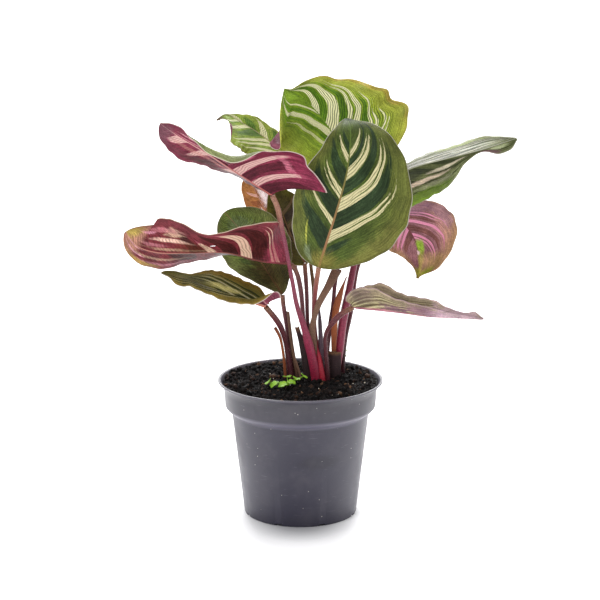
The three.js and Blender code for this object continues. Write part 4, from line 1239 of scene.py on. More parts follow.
@dataclass(frozen=True)
class StalkSkin:
    """Finish of a stalk or sheath: its colours from root to end, and its marks."""

    stops: tuple[tuple[float, Colour], ...]
    streak: Colour
    fleck: Colour
    streaks: float = .45
    flecks: float = .25
    count: float = 3.5
    roughness: float = .42
    relief: float = .15

    def material(self, name: str, effects: Effects) -> Material:
        """Builds the finish as a material.

        Args:
            name: the material's name.
            effects: the shared node groups.

        Returns:
            The material.
        """
        finish = Finish(name)
        share, turn = finish.pair("stalk")
        distance, _ = finish.pair("length")
        fibres = finish.use(effects.fibres, Turn=turn, Count=self.count,
                            Distance=finish.mul(distance, Stalk.MAP_SCALE))
        colour = finish.tint(finish.ramp(share, self.stops),
                             (fibres["Streak"], self.streaks, self.streak))
        darker = finish.mix(1.0, colour, (.55, .5, .5, 1), "MULTIPLY")
        colour = finish.mix(finish.mul(fibres["Mottle"], .3), colour, darker)
        colour = finish.tint(colour, (fibres["Speck"], self.flecks, self.fleck))
        rough = finish.scale(fibres["Mottle"], self.roughness * .85, self.roughness * 1.25)
        return finish.done(colour, rough, .4, (fibres["Height"], self.relief, .8))


@dataclass(frozen=True)
class Stalk:
    """A stalk, sheath or stub along a route up from the soil.

    radii run from root to end; flat is its thickness front to back as a share of its
    breadth; torn is how far a dried end is frayed, and hollow how far it is open.
    """

    MAP_SCALE = 100.0                       # millimetres to a full step of the length map
    SIDES = 28
    STEPS = 90
    BOTTOM = 92.0
    SEAT_GAP = .6
    FLUTING = .045
    FRAYED = .15                           # share of the length that a torn end takes up
    OPENING = .62                          # width of a hollow end, as a share of its own

    name: str
    slot: str
    skin: StalkSkin
    route: tuple[Point, ...]
    radii: tuple[float, ...]
    flat: float = 1.0
    torn: float = 0.0
    hollow: float = 0.0

    @property
    def seat(self) -> Point | None:
        """First point of the midrib of its blade, which has the letter of its own name."""
        letter = self.name.removeprefix("petiole_")
        return next((blade.spine[0] for blade in BLADES if blade.name[6] == letter), None)

    def line(self) -> Route:
        """Route from the root in the soil to the end below its blade."""
        points = [(*self.route[0][:2], self.BOTTOM), *self.route]
        if self.seat:
            seat, last = np.array(self.seat, float), np.array(points[-1], float)
            points.append(tuple(seat + unit(last - seat) * self.SEAT_GAP))
        return Route(points)

    @staticmethod
    def crosswise(ahead: Array) -> tuple[Array, Array]:
        """Directions to the side and to the front of a line that runs ahead."""
        front = unit(np.array([0, -1.0, 0]) - ahead * -ahead[:, 1:2])
        return np.cross(front, ahead), front

    def build(self, effects: Effects) -> None:
        """Builds the stalk's mesh and dresses it.

        Args:
            effects: the shared node groups.
        """
        route = self.line()
        rng = np.random.default_rng(sum(map(ord, self.name)))
        share = np.linspace(0, 1, self.STEPS + 1)
        centre, ahead = route.at(share)
        side, front = self.crosswise(ahead)
        angle = around(self.SIDES)
        radius = along(self.radii, share)[:, None]
        flutes = 1 + self.FLUTING * np.cos(5 * angle + rng.uniform(0, 6))[None] * .6
        flutes = flutes + self.FLUTING * rng.normal(0, .25, self.SIDES)[None]
        rings = ringed(centre, side, front, radius * np.cos(angle)[None] * flutes,
                       self.flat * radius * np.sin(angle)[None] * flutes)
        if self.torn:
            jag = self.torn * (rng.random(self.SIDES) - .6)
            rise = np.clip((share - 1 + self.FRAYED) / self.FRAYED, 0, 1)[:, None] * jag[None]
            rings = rings + ahead[:, None] * rise[..., None]
        if self.hollow:
            inward = centre[-1] + (rings[-1] - centre[-1]) * self.OPENING
            depth = np.array([0.0, .5, 1.0])[:, None, None] * ahead[-1] * self.hollow
            rings = np.concatenate([rings, inward[None] - depth])
        rows = len(rings)
        shares = np.concatenate([share, np.full(rows - len(share), 1.0)])
        spread, turns = np.repeat(shares, self.SIDES), np.tile(angle / (2 * np.pi), rows)
        maps = {"stalk": np.stack([spread, turns], axis=-1),
                "length": np.stack([spread * route.length / self.MAP_SCALE, turns], axis=-1)}
        piece = build_object(
            f"{self.name}_fine", rings.reshape(-1, 3), tube_faces(rows, self.SIDES), maps,
            (self.skin.material(f"{self.name}_skin", effects),))
        settle(face_outward(piece), self.slot, self.name)


@dataclass(frozen=True)
class Hairs:
    """Short pale hairs that stand off the leaf stalks, as many on each."""

    count: int = 170
    length: float = 1.5
    radius: float = .06
    sunk: float = .2
    lean: float = .5
    lowest: float = .16
    highest: float = .95
    seed: int = 41

    def build(self, stalks: list[Stalk]) -> None:
        """Builds the hairs of some stalks as one piece and dresses it.

        Args:
            stalks: the stalks that carry hairs.
        """
        rng = np.random.default_rng(self.seed)
        points = np.concatenate([self.cones(stalk, rng) for stalk in stalks])
        base = 4 * np.arange(len(points) // 4)[:, None, None]
        faces = base + np.array([(0, 1, 3), (1, 2, 3), (2, 0, 3), (2, 1, 0)])[None]
        settle(build_object("stalk_hairs", points, faces.reshape(-1, 3).tolist(), None,
                            (self.down(),)), "stalk_pink")

    def cones(self, stalk: Stalk, rng: np.random.Generator) -> Array:
        """Corners of one stalk's hairs, each three at its root and one at its point.

        Args:
            stalk: the stalk.
            rng: the seeded random source.

        Returns:
            The corners, four to a hair.
        """
        share = rng.uniform(self.lowest, self.highest, self.count)
        turn = rng.uniform(0, 2 * np.pi, self.count)[:, None]
        centre, ahead = stalk.line().at(share)
        side, front = stalk.crosswise(ahead)
        radius = along(stalk.radii, share)[:, None]
        offset = side * radius * np.cos(turn) + front * stalk.flat * radius * np.sin(turn)
        out = unit(side * stalk.flat * np.cos(turn) + front * np.sin(turn))
        grow = unit(out + ahead * rng.uniform(-.2, self.lean, self.count)[:, None])
        root = centre + offset - out * self.sunk
        across = unit(np.cross(grow, ahead))
        other = np.cross(grow, across)
        corners = [root + self.radius * (across * math.cos(a) + other * math.sin(a))
                   for a in around(3)]
        reach = self.sunk + self.length * rng.uniform(.5, 1.1, self.count)[:, None]
        return np.stack([*corners, root + grow * reach], axis=1).reshape(-1, 3)

    @staticmethod
    def down() -> Material:
        """Pale, slightly rosy hair."""
        finish = Finish("stalk_down")
        place = finish.place()
        colour = finish.ramp(finish.noise(place, 90.0, 2),
                             ((.3, (150, 92, 96)), (.7, (214, 190, 176))))
        return finish.done(colour, finish.scale(finish.noise(place, 200.0, 1), .4, .6))


PINK = StalkSkin(
    ((0, (160, 20, 50)), (.2, (172, 40, 80)), (.4, (140, 52, 76)), (.8, (146, 62, 84)),
     (.9, (170, 120, 96)), (1, (186, 140, 112))),
    (84, 24, 44), (206, 150, 160), streaks=.75)
CRIMSON = StalkSkin(
    ((0, (178, 22, 48)), (.28, (196, 40, 66)), (.42, (150, 66, 70)), (.8, (150, 80, 76)),
     (1, (176, 126, 96))),
    (84, 28, 36), (206, 150, 140), streaks=.6)
MAROON = StalkSkin(
    ((0, (74, 24, 34)), (.4, (104, 40, 52)), (.85, (120, 58, 62)), (1, (150, 104, 74))),
    (46, 18, 24), (170, 130, 110), streaks=.8)
GREENISH = StalkSkin(
    ((0, (96, 44, 40)), (.4, (110, 74, 44)), (1, (128, 128, 66))), (70, 50, 34), (150, 140, 90))
TAN = StalkSkin(
    ((0, (96, 66, 54)), (.4, (150, 116, 92)), (1, (132, 96, 72))), (64, 38, 28), (60, 40, 34),
    streaks=.9, count=6, roughness=.6, relief=.3)
RUST = StalkSkin(
    ((0, (110, 52, 30)), (.6, (172, 92, 44)), (1, (150, 82, 50))), (92, 46, 28), (60, 36, 26),
    streaks=.55, count=5, roughness=.62, relief=.3)
DARK = StalkSkin(
    ((0, (40, 24, 26)), (.9, (64, 38, 42)), (1, (136, 96, 62))), (22, 14, 16), (120, 96, 80),
    streaks=.6, count=6, roughness=.58, relief=.3)
SPEAR = StalkSkin(
    ((0, (60, 34, 42)), (.6, (92, 70, 84)), (1, (86, 66, 74))), (54, 40, 50), (140, 126, 130),
    streaks=.6, count=5, relief=.25)


STALKS = (
    Stalk("petiole_d", "stalk_pink", PINK,
          ((11, -3.5, 101), (9, -4, 114), (6, -6, 127), (2, -9, 143), (-2.5, -13, 158),
           (-6, -18, 178), (-10, -24, 201), (-14, -28, 222), (-16.5, -30, 234)),
          (3.4, 3.4, 3.2, 2.3, 1.7, 1.5, 1.4, 1.5, 1.9, 1.8), .75),
    Stalk("petiole_a", "stalk_pink", CRIMSON,
          ((16, -3, 101), (14, -1, 113), (11.3, 4, 127), (10, 4, 143), (10.2, -2, 159),
           (11.2, -9, 172)),
          (2.3, 2.2, 1.8, 1.6, 1.6, 1.8, 1.8)),
    Stalk("petiole_l", "stalk_maroon", MAROON,
          ((20, -2, 101), (18.5, -3, 121), (18.5, -5, 135), (24, -8, 145), (30.5, -11, 152)),
          (1.6, 1.6, 1.5, 1.5, 2.1, 1.9)),
    Stalk("petiole_e", "stalk_maroon", MAROON,
          ((6.3, 5, 99), (4, 4, 121), (2.2, 2, 144), (0, -1, 168), (-3.2, -3, 181)),
          (1.7, 1.6, 1.5, 1.5, 1.8, 1.7)),
    Stalk("petiole_i", "stalk_maroon", MAROON,
          ((8.5, 9.5, 99), (6.6, 9.5, 119), (5.2, 9, 141), (4.4, 10, 165)),
          (1.6, 1.5, 1.4, 1.5, 1.7)),
    Stalk("petiole_h", "stalk_maroon", MAROON,
          ((4.5, 11.5, 99), (3, 14, 122), (1.9, 18, 140), (-.3, 25, 160), (-4.7, 34, 179)),
          (1.5, 1.4, 1.3, 1.3, 1.4, 1.5)),
    Stalk("petiole_c", "stalk_green", GREENISH,
          ((12.5, 10, 99), (9.5, 14.5, 122), (9.6, 18, 143), (9.6, 22, 161), (7.8, 27, 177),
           (3.4, 36, 211)),
          (1.6, 1.5, 1.4, 1.3, 1.3, 1.5)),
    Stalk("petiole_b", "stalk_pink", MAROON,
          ((18.5, 7, 100), (19.5, 8, 119), (21.6, 10, 138), (23.7, 12, 152), (25.5, 14, 170),
           (32.4, 17, 200)),
          (2, 1.8, 1.6, 1.5, 1.5, 1.8, 1.9)),
    Stalk("petiole_j", "stalk_maroon", PINK,
          ((26, 13, 102), (28.2, 12, 118), (31, 12, 140), (36, 14, 166), (39, 16, 181),
           (45, 19, 207)),
          (3.4, 3.4, 3.2, 2.6, 2.2, 1.9, 2)),
    Stalk("petiole_k", "stalk_maroon", MAROON,
          ((31, 17, 104), (33, 18, 126), (37, 21, 144), (42, 27, 177), (51, 31, 197)),
          (1.8, 1.7, 1.5, 1.4, 1.6, 1.6)),
    Stalk("petiole_f", "stalk_maroon", MAROON,
          ((-6.9, 1, 100), (-9.7, 0, 122), (-13.3, -5, 138), (-17, -9, 146)),
          (2.8, 2.3, 1.7, 2.1, 2)),
    Stalk("petiole_g", "stalk_maroon", MAROON,
          ((-5.4, 7, 101), (-8.3, 6, 124), (-10, 4.8, 139), (-12.3, 4.5, 154)),
          (1.8, 1.7, 1.5, 1.6, 1.7)),
    Stalk("spear_leaf", "spear_leaf", SPEAR,
          ((16, 2, 100), (15, 1.5, 125), (14.2, 1.5, 140), (13.5, 1.5, 156)),
          (1.7, 1.9, 1.9, 1.5, .4)),
    Stalk("sheath_brown_leaning", "dried_sheath", TAN,
          ((10.5, 1, 100), (9, -1.5, 126), (8.4, -4, 138), (12.7, -5, 156), (20.6, -4, 171),
           (26.3, -2, 182)),
          (2, 2.4, 3, 2, 2.6, 3.6), .35, torn=3, hollow=6),
    Stalk("sheath_dark_left", "dark_sheath", DARK,
          ((5.5, .5, 102), (1.5, .5, 125), (-2.5, -1.5, 139)), (3.2, 2.8, 1.6), .4, torn=1.5,
          hollow=2),
    Stalk("stub_brown_left", "dried_sheath", TAN,
          ((-2.6, 3, 101), (-6, 1, 124), (-7.6, .6, 137), (-9, 1, 150)), (1.3, 1.3, 1.2, 1.1),
          torn=1.5, hollow=1.5),
    Stalk("stub_orange_left", "dried_sheath", RUST,
          ((-11, -1.5, 102), (-12.8, -3, 122), (-15, -5, 133), (-18.3, -7, 140)),
          (1.1, 1.1, 1, 1.2), torn=1.5, hollow=1.5),
    Stalk("bract_orange_right", "dried_sheath", RUST,
          ((25, 6.5, 102), (24.3, 6.5, 123), (25.8, 6, 150), (29.4, 5, 164), (33.3, 5, 175)),
          (1.5, 1.6, 2.2, 2.6, .5), .4),
    Stalk("sheath_dark_right", "dark_sheath", DARK,
          ((24.5, 4.5, 100), (25, 4, 119)), (5, 4.8), .3, torn=1.2, hollow=2),
    Stalk("strip_tan_left", "dried_sheath", TAN,
          ((0, -3, 102), (-3.9, -4, 116), (-6.8, -5, 127)), (.9, .8, .5), .6))


# ---------------- pot


@dataclass(frozen=True)
class Pot:
    """Thin nursery pot of dark grey plastic, turned about +Z."""

    height: float = 100.0
    wall: float = 1.1
    lip_radius: float = 60.0
    band_radius: float = 55.7
    band_top: float = 93.0
    band_bottom: float = 81.0
    shoulder_radius: float = 50.0
    shoulder_height: float = 76.5
    foot_radius: float = 41.2
    foot_ring: float = 5.0
    foot_recess: float = 1.5
    pad_radius: float = 11.0
    segments: int = 192
    drain_holes: int = 6
    drain_radius: float = 3.0
    drain_circle: float = 23.0
    drain_sides: int = 32
    notches: int = 8
    notch_width: float = 5.0
    crisp_angle: float = 32.0               # edges sharper than this stay crisp

    def profile(self) -> Array:
        """Half profile, outside from the underside's pad up to the lip, then inside down."""
        high, band, lip, pad = self.height, self.band_radius, self.lip_radius, self.pad_radius
        foot, recess, wall = self.foot_radius, self.foot_recess, self.wall
        ring, floor = foot - self.foot_ring, recess + wall
        low, top = self.band_bottom, self.band_top
        shoulder, level = self.shoulder_radius, self.shoulder_height
        return np.array([
            (pad, 0), (pad + .5, .6), (pad + 1, recess), (ring - 1, recess), (ring - .4, .8),
            (ring, 0), (foot - 1, 0), (foot - .3, .3), (foot, 1), (shoulder - .1, level - 1),
            (shoulder + .15, level), (shoulder + .8, level + .6), (band - 2.2, low - 1.9),
            (band - 1.1, low - .6), (band - .8, low + .8), (band - .1, top - 1),
            (band + .15, top + .2), (band + 1.1, top + 3), (lip - 1.4, high - 1.7),
            (lip - .4, high - 1.3), (lip, high - .9), (lip, high - .25), (lip - .2, high - .05),
            (lip - .5, high), (lip - 1.6, high - .1), (lip - 2.2, high - .5),
            (band - .1, top + 3), (band - wall, top - .4), (band - .8 - wall, low + 1),
            (shoulder - wall, level + 1), (foot - wall, floor + 1), (foot - wall - 1, floor),
            (pad, floor)])

    def build(self, effects: Effects) -> None:
        """Turns the profile, cuts the drain holes and foot notches and dresses the pot.

        Args:
            effects: the shared node groups.
        """
        profile, count = self.profile(), self.segments
        points = turned(profile, around(count)).reshape(-1, 3)
        last, top = len(points), (len(profile) - 1) * count
        points = np.concatenate([points, [[0, 0, 0], [0, 0, profile[-1, 1]]]])
        faces = grid_faces(len(profile), count, closed=True).tolist()
        for i in range(count):
            follow = (i + 1) % count
            faces += [[last, follow, i], [last + 1, top + i, top + follow]]
        pot = build_object("pot_shell", points, faces, materials=(self.plastic(effects),))
        cutters = [self.drain_cutter(i) for i in range(self.drain_holes)]
        cutters += [self.notch_cutter(i) for i in range(self.notches)]
        for cutter in cutters:
            cut = pot.modifiers.new("cut", "BOOLEAN")
            cut.object, cut.solver = cutter, "EXACT"
        shown = pot.evaluated_get(bpy.context.evaluated_depsgraph_get())
        mesh = bpy.data.meshes.new_from_object(shown)
        pot.modifiers.clear()
        pot.data = mesh
        for cutter in cutters:
            bpy.data.objects.remove(cutter)
        mesh.polygons.foreach_set("use_smooth", np.ones(len(mesh.polygons), bool))
        mesh.set_sharp_from_angle(angle=math.radians(self.crisp_angle))
        settle(pot, "pot_plastic", "pot")

    def drain_cutter(self, index: int) -> Piece:
        """Rod that cuts one drain hole through the floor."""
        turn, angle = 2 * math.pi * (index + .5) / self.drain_holes, around(self.drain_sides)
        x = self.drain_circle * math.cos(turn) + self.drain_radius * np.cos(angle)
        y = self.drain_circle * math.sin(turn) + self.drain_radius * np.sin(angle)
        points = np.concatenate([np.stack([x, y, 0 * x + z], axis=1) for z in (-2.0, 6.0)])
        return build_object(f"drain_cutter_{index}", points, tube_faces(2, self.drain_sides))

    def notch_cutter(self, index: int) -> Piece:
        """Block that cuts one notch through the foot ring."""
        turn = 2 * math.pi * (index + .5) / self.notches
        near, far = self.foot_radius - self.foot_ring - 1.5, self.foot_radius + 3
        half = self.notch_width / 2
        box = np.array([(x, y, z) for z in (-self.foot_recess, self.foot_recess)
                        for x, y in ((near, -half), (far, -half), (far, half), (near, half))])
        spin = np.array([[math.cos(turn), -math.sin(turn), 0],
                         [math.sin(turn), math.cos(turn), 0], [0, 0, 1]])
        return build_object(f"notch_cutter_{index}", box @ spin.T, tube_faces(2, 4))

    @staticmethod
    def plastic(effects: Effects) -> Material:
        """Satin dark grey plastic with scuffs, a film of dust, soil specks, and painted highlights
        on the shoulder ring and the lip.
        """
        finish = Finish("pot_plastic_satin")
        place = finish.place()
        x, y, z = finish.split(place)
        height = finish.math("DIVIDE", z, .1)
        # body colour by height, lighter towards the bottom; the stops from .765 to .795 paint a
        # highlight ring on the shoulder under the band, and the stop at .99 paints a highlight on
        # the lip
        colour = finish.ramp(height, (
            (0.0, (54, 52, 67)), (.5, (45, 43, 58)), (.748, (47, 45, 60)), (.765, (86, 83, 98)),
            (.795, (98, 95, 110)), (.82, (47, 45, 57)), (.97, (46, 44, 53)),
            (.99, (84, 82, 92))))
        dust = finish.use(effects.dust, Amount=.03, Scale=520.0)
        smudge = finish.use(
            effects.patch, Along=finish.mul(x, 10.0), Sideways=height, Centre_Along=.13,
            Centre_Sideways=.5, Half_Length=.16, Half_Width=.06, Ragged=.7)[0]
        cloud = finish.noise(place, 22.0, 4, .6)
        scuff = finish.noise(finish.stretch(place, (90.0, 90.0, 900.0)), 1.0, 2, .7)
        colour = finish.tint(
            colour,
            (finish.mul(smudge, finish.math("LESS_THAN", y, 0.0)), .6, (34, 32, 43)),
            (finish.step(cloud, .35, .8), .15, (70, 68, 78)),
            (finish.step(scuff, .62, .75), .18, (120, 117, 126)),
            (dust["Film"], .08, (136, 130, 132)), (dust["Speck"], .8, (205, 200, 190)))
        relief = finish.fused(scuff, .5, finish.noise(place, 1400.0, 2))
        return finish.done(colour, finish.scale(dust["Film"], .34, .5), relief=(relief, .05, .5))


# ---------------- soil


class Heap:
    """Small parts that are gathered into one mesh."""

    def __init__(self) -> None:
        """Starts with no parts."""
        self.points: list[Array] = []
        self.faces: list[list[int]] = []
        self.tones: list[Array] = []
        self.count = 0

    def add(self, points: Array, faces: list, tone: float | None = None) -> None:
        """Adds a part.

        Args:
            points: its points.
            faces: its faces, which count from its own first point.
            tone: how light it is, 0 to 1, for a heap with a tone map.
        """
        self.faces += [[self.count + corner for corner in face] for face in faces]
        self.points.append(points)
        self.count += len(points)
        if tone is not None:
            self.tones.append(np.full((len(points), 2), tone))

    def piece(self, name: str, material: Material) -> Piece:
        """The parts as one dressed object."""
        maps = {"tone": np.concatenate(self.tones)} if self.tones else None
        return build_object(name, np.concatenate(self.points), self.faces, maps, (material,))


@dataclass(frozen=True)
class Soil:
    """Peat in the pot: a fine bumpy surface, loose crumbs, bark fibres and pale grains."""

    top: float = 99.2
    edge_top: float = 98.2
    bump: float = .9
    bowl: float = 57.0                      # radius at which the surface has sunk to its edge
    radius: float = 56.25
    rings: int = 120
    segments: int = 360
    crumbs: int = 1900
    fibres: int = 300
    grains: int = 12
    seed: int = 7
    skirt: tuple[tuple[float, float], ...] = (
        (38.65, 2.95), (48.25, 77.1), (53.35, 82.6), (54.05, 92.6), (55.05, 96.0))

    def height(self, x: Array, y: Array) -> Array:
        """Height of the frame's soil surface."""
        edge = np.minimum(1, np.hypot(x, y) / self.bowl)
        base = self.top + (self.edge_top - self.top) * edge**6
        swell = np.sin(x * .21 + 1.3) * np.cos(y * .19 - .4)
        lumps = np.sin(x * .63 + y * .31) * np.sin(y * .71 - x * .23 + 2.1)
        return base + self.bump * (.7 * swell + .8 * lumps)

    def rough(self, x: Array, y: Array) -> Array:
        """Small unevenness of the surface, from waves in seeded directions."""
        rng = np.random.default_rng(self.seed)
        total = np.zeros_like(x)
        for step in np.repeat((3.6, 2.4, 1.6, 1.1), 5):
            turn, phase = rng.uniform(0, 2 * np.pi, 2)
            total += step * .075 * np.sin(
                (x * math.cos(turn) + y * math.sin(turn)) * 2 * math.pi / step + phase)
        return total

    def build(self) -> None:
        """Builds the body of the soil and what lies on it."""
        peat = self.peat()
        settle(self.body(peat), "peat_soil", "soil")
        for piece in (self.loose_crumbs(peat), self.bark_fibres(peat), self.pale_grains()):
            settle(piece, "peat_soil")

    def body(self, peat: Material) -> Piece:
        """The soil's filled body, which replaces the frame's."""
        angle = around(self.segments)
        radii = self.radius * np.linspace(.004, 1, self.rings)
        x, y = radii[:, None] * np.cos(angle), radii[:, None] * np.sin(angle)
        fade = np.clip((self.radius - radii) / 2, 0, 1)[:, None]
        surface = np.stack([x, y, self.height(x, y) + self.rough(x, y) * fade], axis=-1)[::-1]
        points = np.concatenate([turned(np.array(self.skirt), angle), surface]).reshape(-1, 3)
        heap = Heap()
        heap.add(points, tube_faces(len(self.skirt) + self.rings, self.segments), .35)
        return heap.piece("soil_body", peat)

    def scatter(self, rng: np.random.Generator, count: int, reach: float) -> Array:
        """Random points on the soil's surface.

        Args:
            rng: the seeded random source.
            count: number of points.
            reach: largest distance from the middle.

        Returns:
            The points.
        """
        turn, far = rng.uniform(0, 2 * np.pi, count), reach * np.sqrt(rng.random(count))
        x, y = far * np.cos(turn), far * np.sin(turn)
        return np.stack([x, y, self.height(x, y)], axis=-1)

    def loose_crumbs(self, peat: Material) -> Piece:
        """Crumbs of peat, as one mesh of uneven lumps."""
        rng = np.random.default_rng(self.seed + 1)
        ball, triangles = self.ball()
        centres = self.scatter(rng, self.crumbs, self.radius - 1.2)
        sizes = rng.lognormal(math.log(.85), .48, self.crumbs).clip(.35, 2.3)
        heap = Heap()
        for centre, size in zip(centres, sizes):
            squash = rng.uniform(.4, 1.25, 3) * size
            turn = np.linalg.qr(rng.normal(size=(3, 3)))[0]
            lump = (ball * (1 + rng.normal(0, .24, (len(ball), 1))) * squash) @ turn
            heap.add(lump + centre + [0, 0, .35 * size], triangles, rng.random() ** 1.5)
        return heap.piece("soil_crumbs", peat)

    @staticmethod
    def ball() -> tuple[Array, list[list[int]]]:
        """Points and triangles of a small round ball of radius 1."""
        work = bmesh.new()
        bmesh.ops.create_icosphere(work, subdivisions=2, radius=1.0)
        points = np.array([vertex.co for vertex in work.verts])
        faces = [[vertex.index for vertex in face.verts] for face in work.faces]
        work.free()
        return points, faces

    def bark_fibres(self, peat: Material) -> Piece:
        """Thin bent fibres and bark splinters that lie on the soil."""
        rng = np.random.default_rng(self.seed + 2)
        swell = np.array([.35, .8, 1, 1, 1, .8, .35])
        steps, sides = len(swell), 5
        angle, faces = around(sides), tube_faces(steps, sides)
        share, heap = np.linspace(-.5, .5, steps), Heap()
        for centre in self.scatter(rng, self.fibres, self.radius - 3):
            length, radius = rng.uniform(2.5, 8.0), rng.uniform(.14, .38)
            turn, bend = rng.uniform(0, 2 * np.pi), rng.normal(0, .9)
            heading = turn + bend * share
            x = centre[0] + np.cumsum(np.cos(heading)) * length / steps - np.cos(turn) * length / 2
            y = centre[1] + np.cumsum(np.sin(heading)) * length / steps - np.sin(turn) * length / 2
            inward = np.minimum(1, (self.radius - 1.5) / np.hypot(x, y))
            x, y = x * inward, y * inward
            z = self.height(x, y) + rng.uniform(.5, 1.3) + rng.normal(0, .25) * share * 4
            side = np.stack([-np.sin(heading), np.cos(heading), np.zeros(steps)], axis=-1)
            thick = radius * swell[:, None]
            rings = ringed(np.stack([x, y, z], axis=-1), side, np.array([[0, 0, 1.0]]),
                           thick * np.cos(angle), .7 * thick * np.sin(angle))
            heap.add(rings.reshape(-1, 3), faces, rng.uniform(.3, .95))
        return heap.piece("soil_fibres", peat)

    def pale_grains(self) -> Piece:
        """A few pale mineral grains."""
        rng = np.random.default_rng(self.seed + 3)
        ball, triangles = self.ball()
        heap = Heap()
        for centre in self.scatter(rng, self.grains, self.radius - 4):
            size = rng.uniform(.3, .6)
            lump = ball * (1 + rng.normal(0, .12, (len(ball), 1))) * size
            heap.add(lump + centre + [0, 0, 1.0], triangles)
        finish = Finish("pale_grain")
        place = finish.place()
        colour = finish.ramp(finish.noise(place, 160.0, 3),
                             ((.3, (206, 190, 160)), (.7, (238, 236, 232))))
        return heap.piece("soil_grains", finish.done(
            colour, .8, relief=(finish.noise(place, 2500.0, 2), .2, .7)))

    @staticmethod
    def peat() -> Material:
        """Moist dark peat with reddish bark."""
        finish = Finish("peat_ground")
        place = finish.place()
        tone, _ = finish.pair("tone")
        spread = finish.add(tone, finish.fused(finish.noise(place, 420.0, 4, .7), .8, -.4))
        colour = finish.ramp(spread, (
            (0.0, (5, 4, 5)), (.4, (15, 12, 12)), (.75, (30, 22, 20)), (.92, (64, 44, 34)),
            (1.0, (112, 84, 62))))
        rough = finish.scale(finish.noise(place, 700.0, 2), .45, .95)
        return finish.done(colour, rough, .145, (finish.noise(place, 1100.0, 5, .7), .5, .9))


# ---------------- seedlings


@dataclass(frozen=True)
class Seedling:
    """A small weed: lobed, cupped leaves on thin stalks from one root."""

    LOBES = 5
    NOTCH = .3
    RINGS = 7
    AROUND = 60
    THICKNESS = .35
    ROOT_DEPTH = 7.0
    ROOT_RADIUS = .8
    STALK_RADIUS = .32

    name: str
    root: Point
    leaves: tuple[tuple[float, float, float, float], ...]

    def build(self) -> None:
        """Builds the seedling and dresses it."""
        heap = Heap()
        root = np.array(self.root, float)
        rng = np.random.default_rng(len(self.leaves))
        self.rod(heap, root - [0, 0, self.ROOT_DEPTH], root, self.ROOT_RADIUS)
        for x, y, z, radius in self.leaves:
            centre = np.array([x, y, z], float)
            self.rod(heap, root, centre, self.STALK_RADIUS)
            outward = unit(np.array([x - root[0], y - root[1], 16.0]))
            self.leaf(heap, centre, outward, radius, rng)
        piece = heap.piece(f"{self.name}_fine", self.skin())
        settle(face_outward(piece), "seedling_green", self.name)

    @staticmethod
    def rod(heap: Heap, start: Array, end: Array, radius: float) -> None:
        """Adds a thin, slightly arched stalk.

        Args:
            heap: the seedling's parts so far.
            start: its first point.
            end: its last point.
            radius: its radius.
        """
        steps, sides = 9, 8
        share = np.linspace(0, 1, steps)[:, None]
        middle = start + (end - start) * share + np.array([0, 0, .8]) * np.sin(np.pi * share)
        ahead = unit(np.gradient(middle, axis=0))
        side = unit(np.cross(ahead, [.3, 1.0, .1]))
        angle = around(sides)
        rings = ringed(middle, side, np.cross(side, ahead),
                       radius * np.cos(angle), radius * np.sin(angle))
        heap.add(rings.reshape(-1, 3), tube_faces(steps, sides))

    def leaf(self, heap: Heap, centre: Array, up: Array, radius: float,
             rng: np.random.Generator) -> None:
        """Adds one lobed leaf.

        Args:
            heap: the seedling's parts so far.
            centre: the leaf's middle.
            up: the direction that it faces.
            radius: reach of its lobes.
            rng: the seeded random source.
        """
        side = unit(np.cross(up, [0.0, 1.0, 0.0]))
        front = np.cross(side, up)
        angle = around(self.AROUND)
        lobes = np.abs(np.cos(self.LOBES * angle / 2 + rng.uniform(0, 3)))
        fine = .05 * np.cos(self.LOBES * 3 * angle)
        reach = radius * (1 - self.NOTCH + self.NOTCH * lobes**.8 + fine)
        share = np.linspace(.05, 1, self.RINGS)[:, None]
        far = share * reach
        cup = .35 * radius * share**2 * (.4 + .4 * np.sin(2 * angle + rng.uniform(0, 6)))
        plane = (centre + side * (far * np.cos(angle))[..., None]
                 + front * (far * np.sin(angle))[..., None]
                 + up * (cup + self.THICKNESS)[..., None]).reshape(-1, 3)
        count, first = len(plane), np.arange(self.AROUND)
        outer, follow = count - self.AROUND + first, count - self.AROUND + np.roll(first, -1)
        rim = np.stack([outer, outer + count, follow + count, follow], axis=1)
        top = grid_faces(self.RINGS, self.AROUND, closed=True)
        heap.add(np.concatenate([plane, plane - up * self.THICKNESS]),
                 [*top.tolist(), *(top[:, ::-1] + count).tolist(), first.tolist(),
                  (first + count).tolist(), *rim.tolist()])

    @staticmethod
    def skin() -> Material:
        """Fresh yellow-green leaf."""
        finish = Finish("seedling_leaf")
        place = finish.place()
        colour = finish.ramp(
            finish.noise(place, 260.0, 3, .6),
            ((.3, (104, 150, 30)), (.55, (140, 190, 44)), (.8, (176, 212, 84))))
        return finish.done(colour, finish.scale(finish.noise(place, 500.0), .35, .6),
                           relief=(finish.noise(place, 900.0, 3), .15, .6))


SEEDLINGS = (
    Seedling("seedling_front", (-9, -24, 101.4),
             ((-18.5, -28, 103.2, 3.8), (-23, -24, 104, 3), (-12.5, -29.5, 103.4, 3.7),
              (-6.5, -28, 104.6, 3.4), (-9.5, -21, 107, 3.3), (-3, -24, 106.6, 3),
              (2.4, -22, 107.8, 3))),
    Seedling("seedling_back", (31, 34, 101.4), ((32, 33, 108, 2.3), (33.5, 35, 112, 2.8))),
)


# ---------------- studio


@dataclass(frozen=True)
class Lamp:
    """A soft square studio light that looks at one spot."""

    name: str
    place: Point
    size: float
    power: float
    target: Point = (0, 0, .17)

    def build(self) -> None:
        """Hangs the light."""
        data = bpy.data.lights.new(self.name, "AREA")
        data.size, data.energy = self.size, self.power
        lamp = bpy.data.objects.new(self.name, data)
        lamp.location = self.place
        aim = Vector(self.target) - lamp.location
        lamp.rotation_euler = aim.to_track_quat("-Z", "Y").to_euler()
        bpy.context.scene.collection.objects.link(lamp)


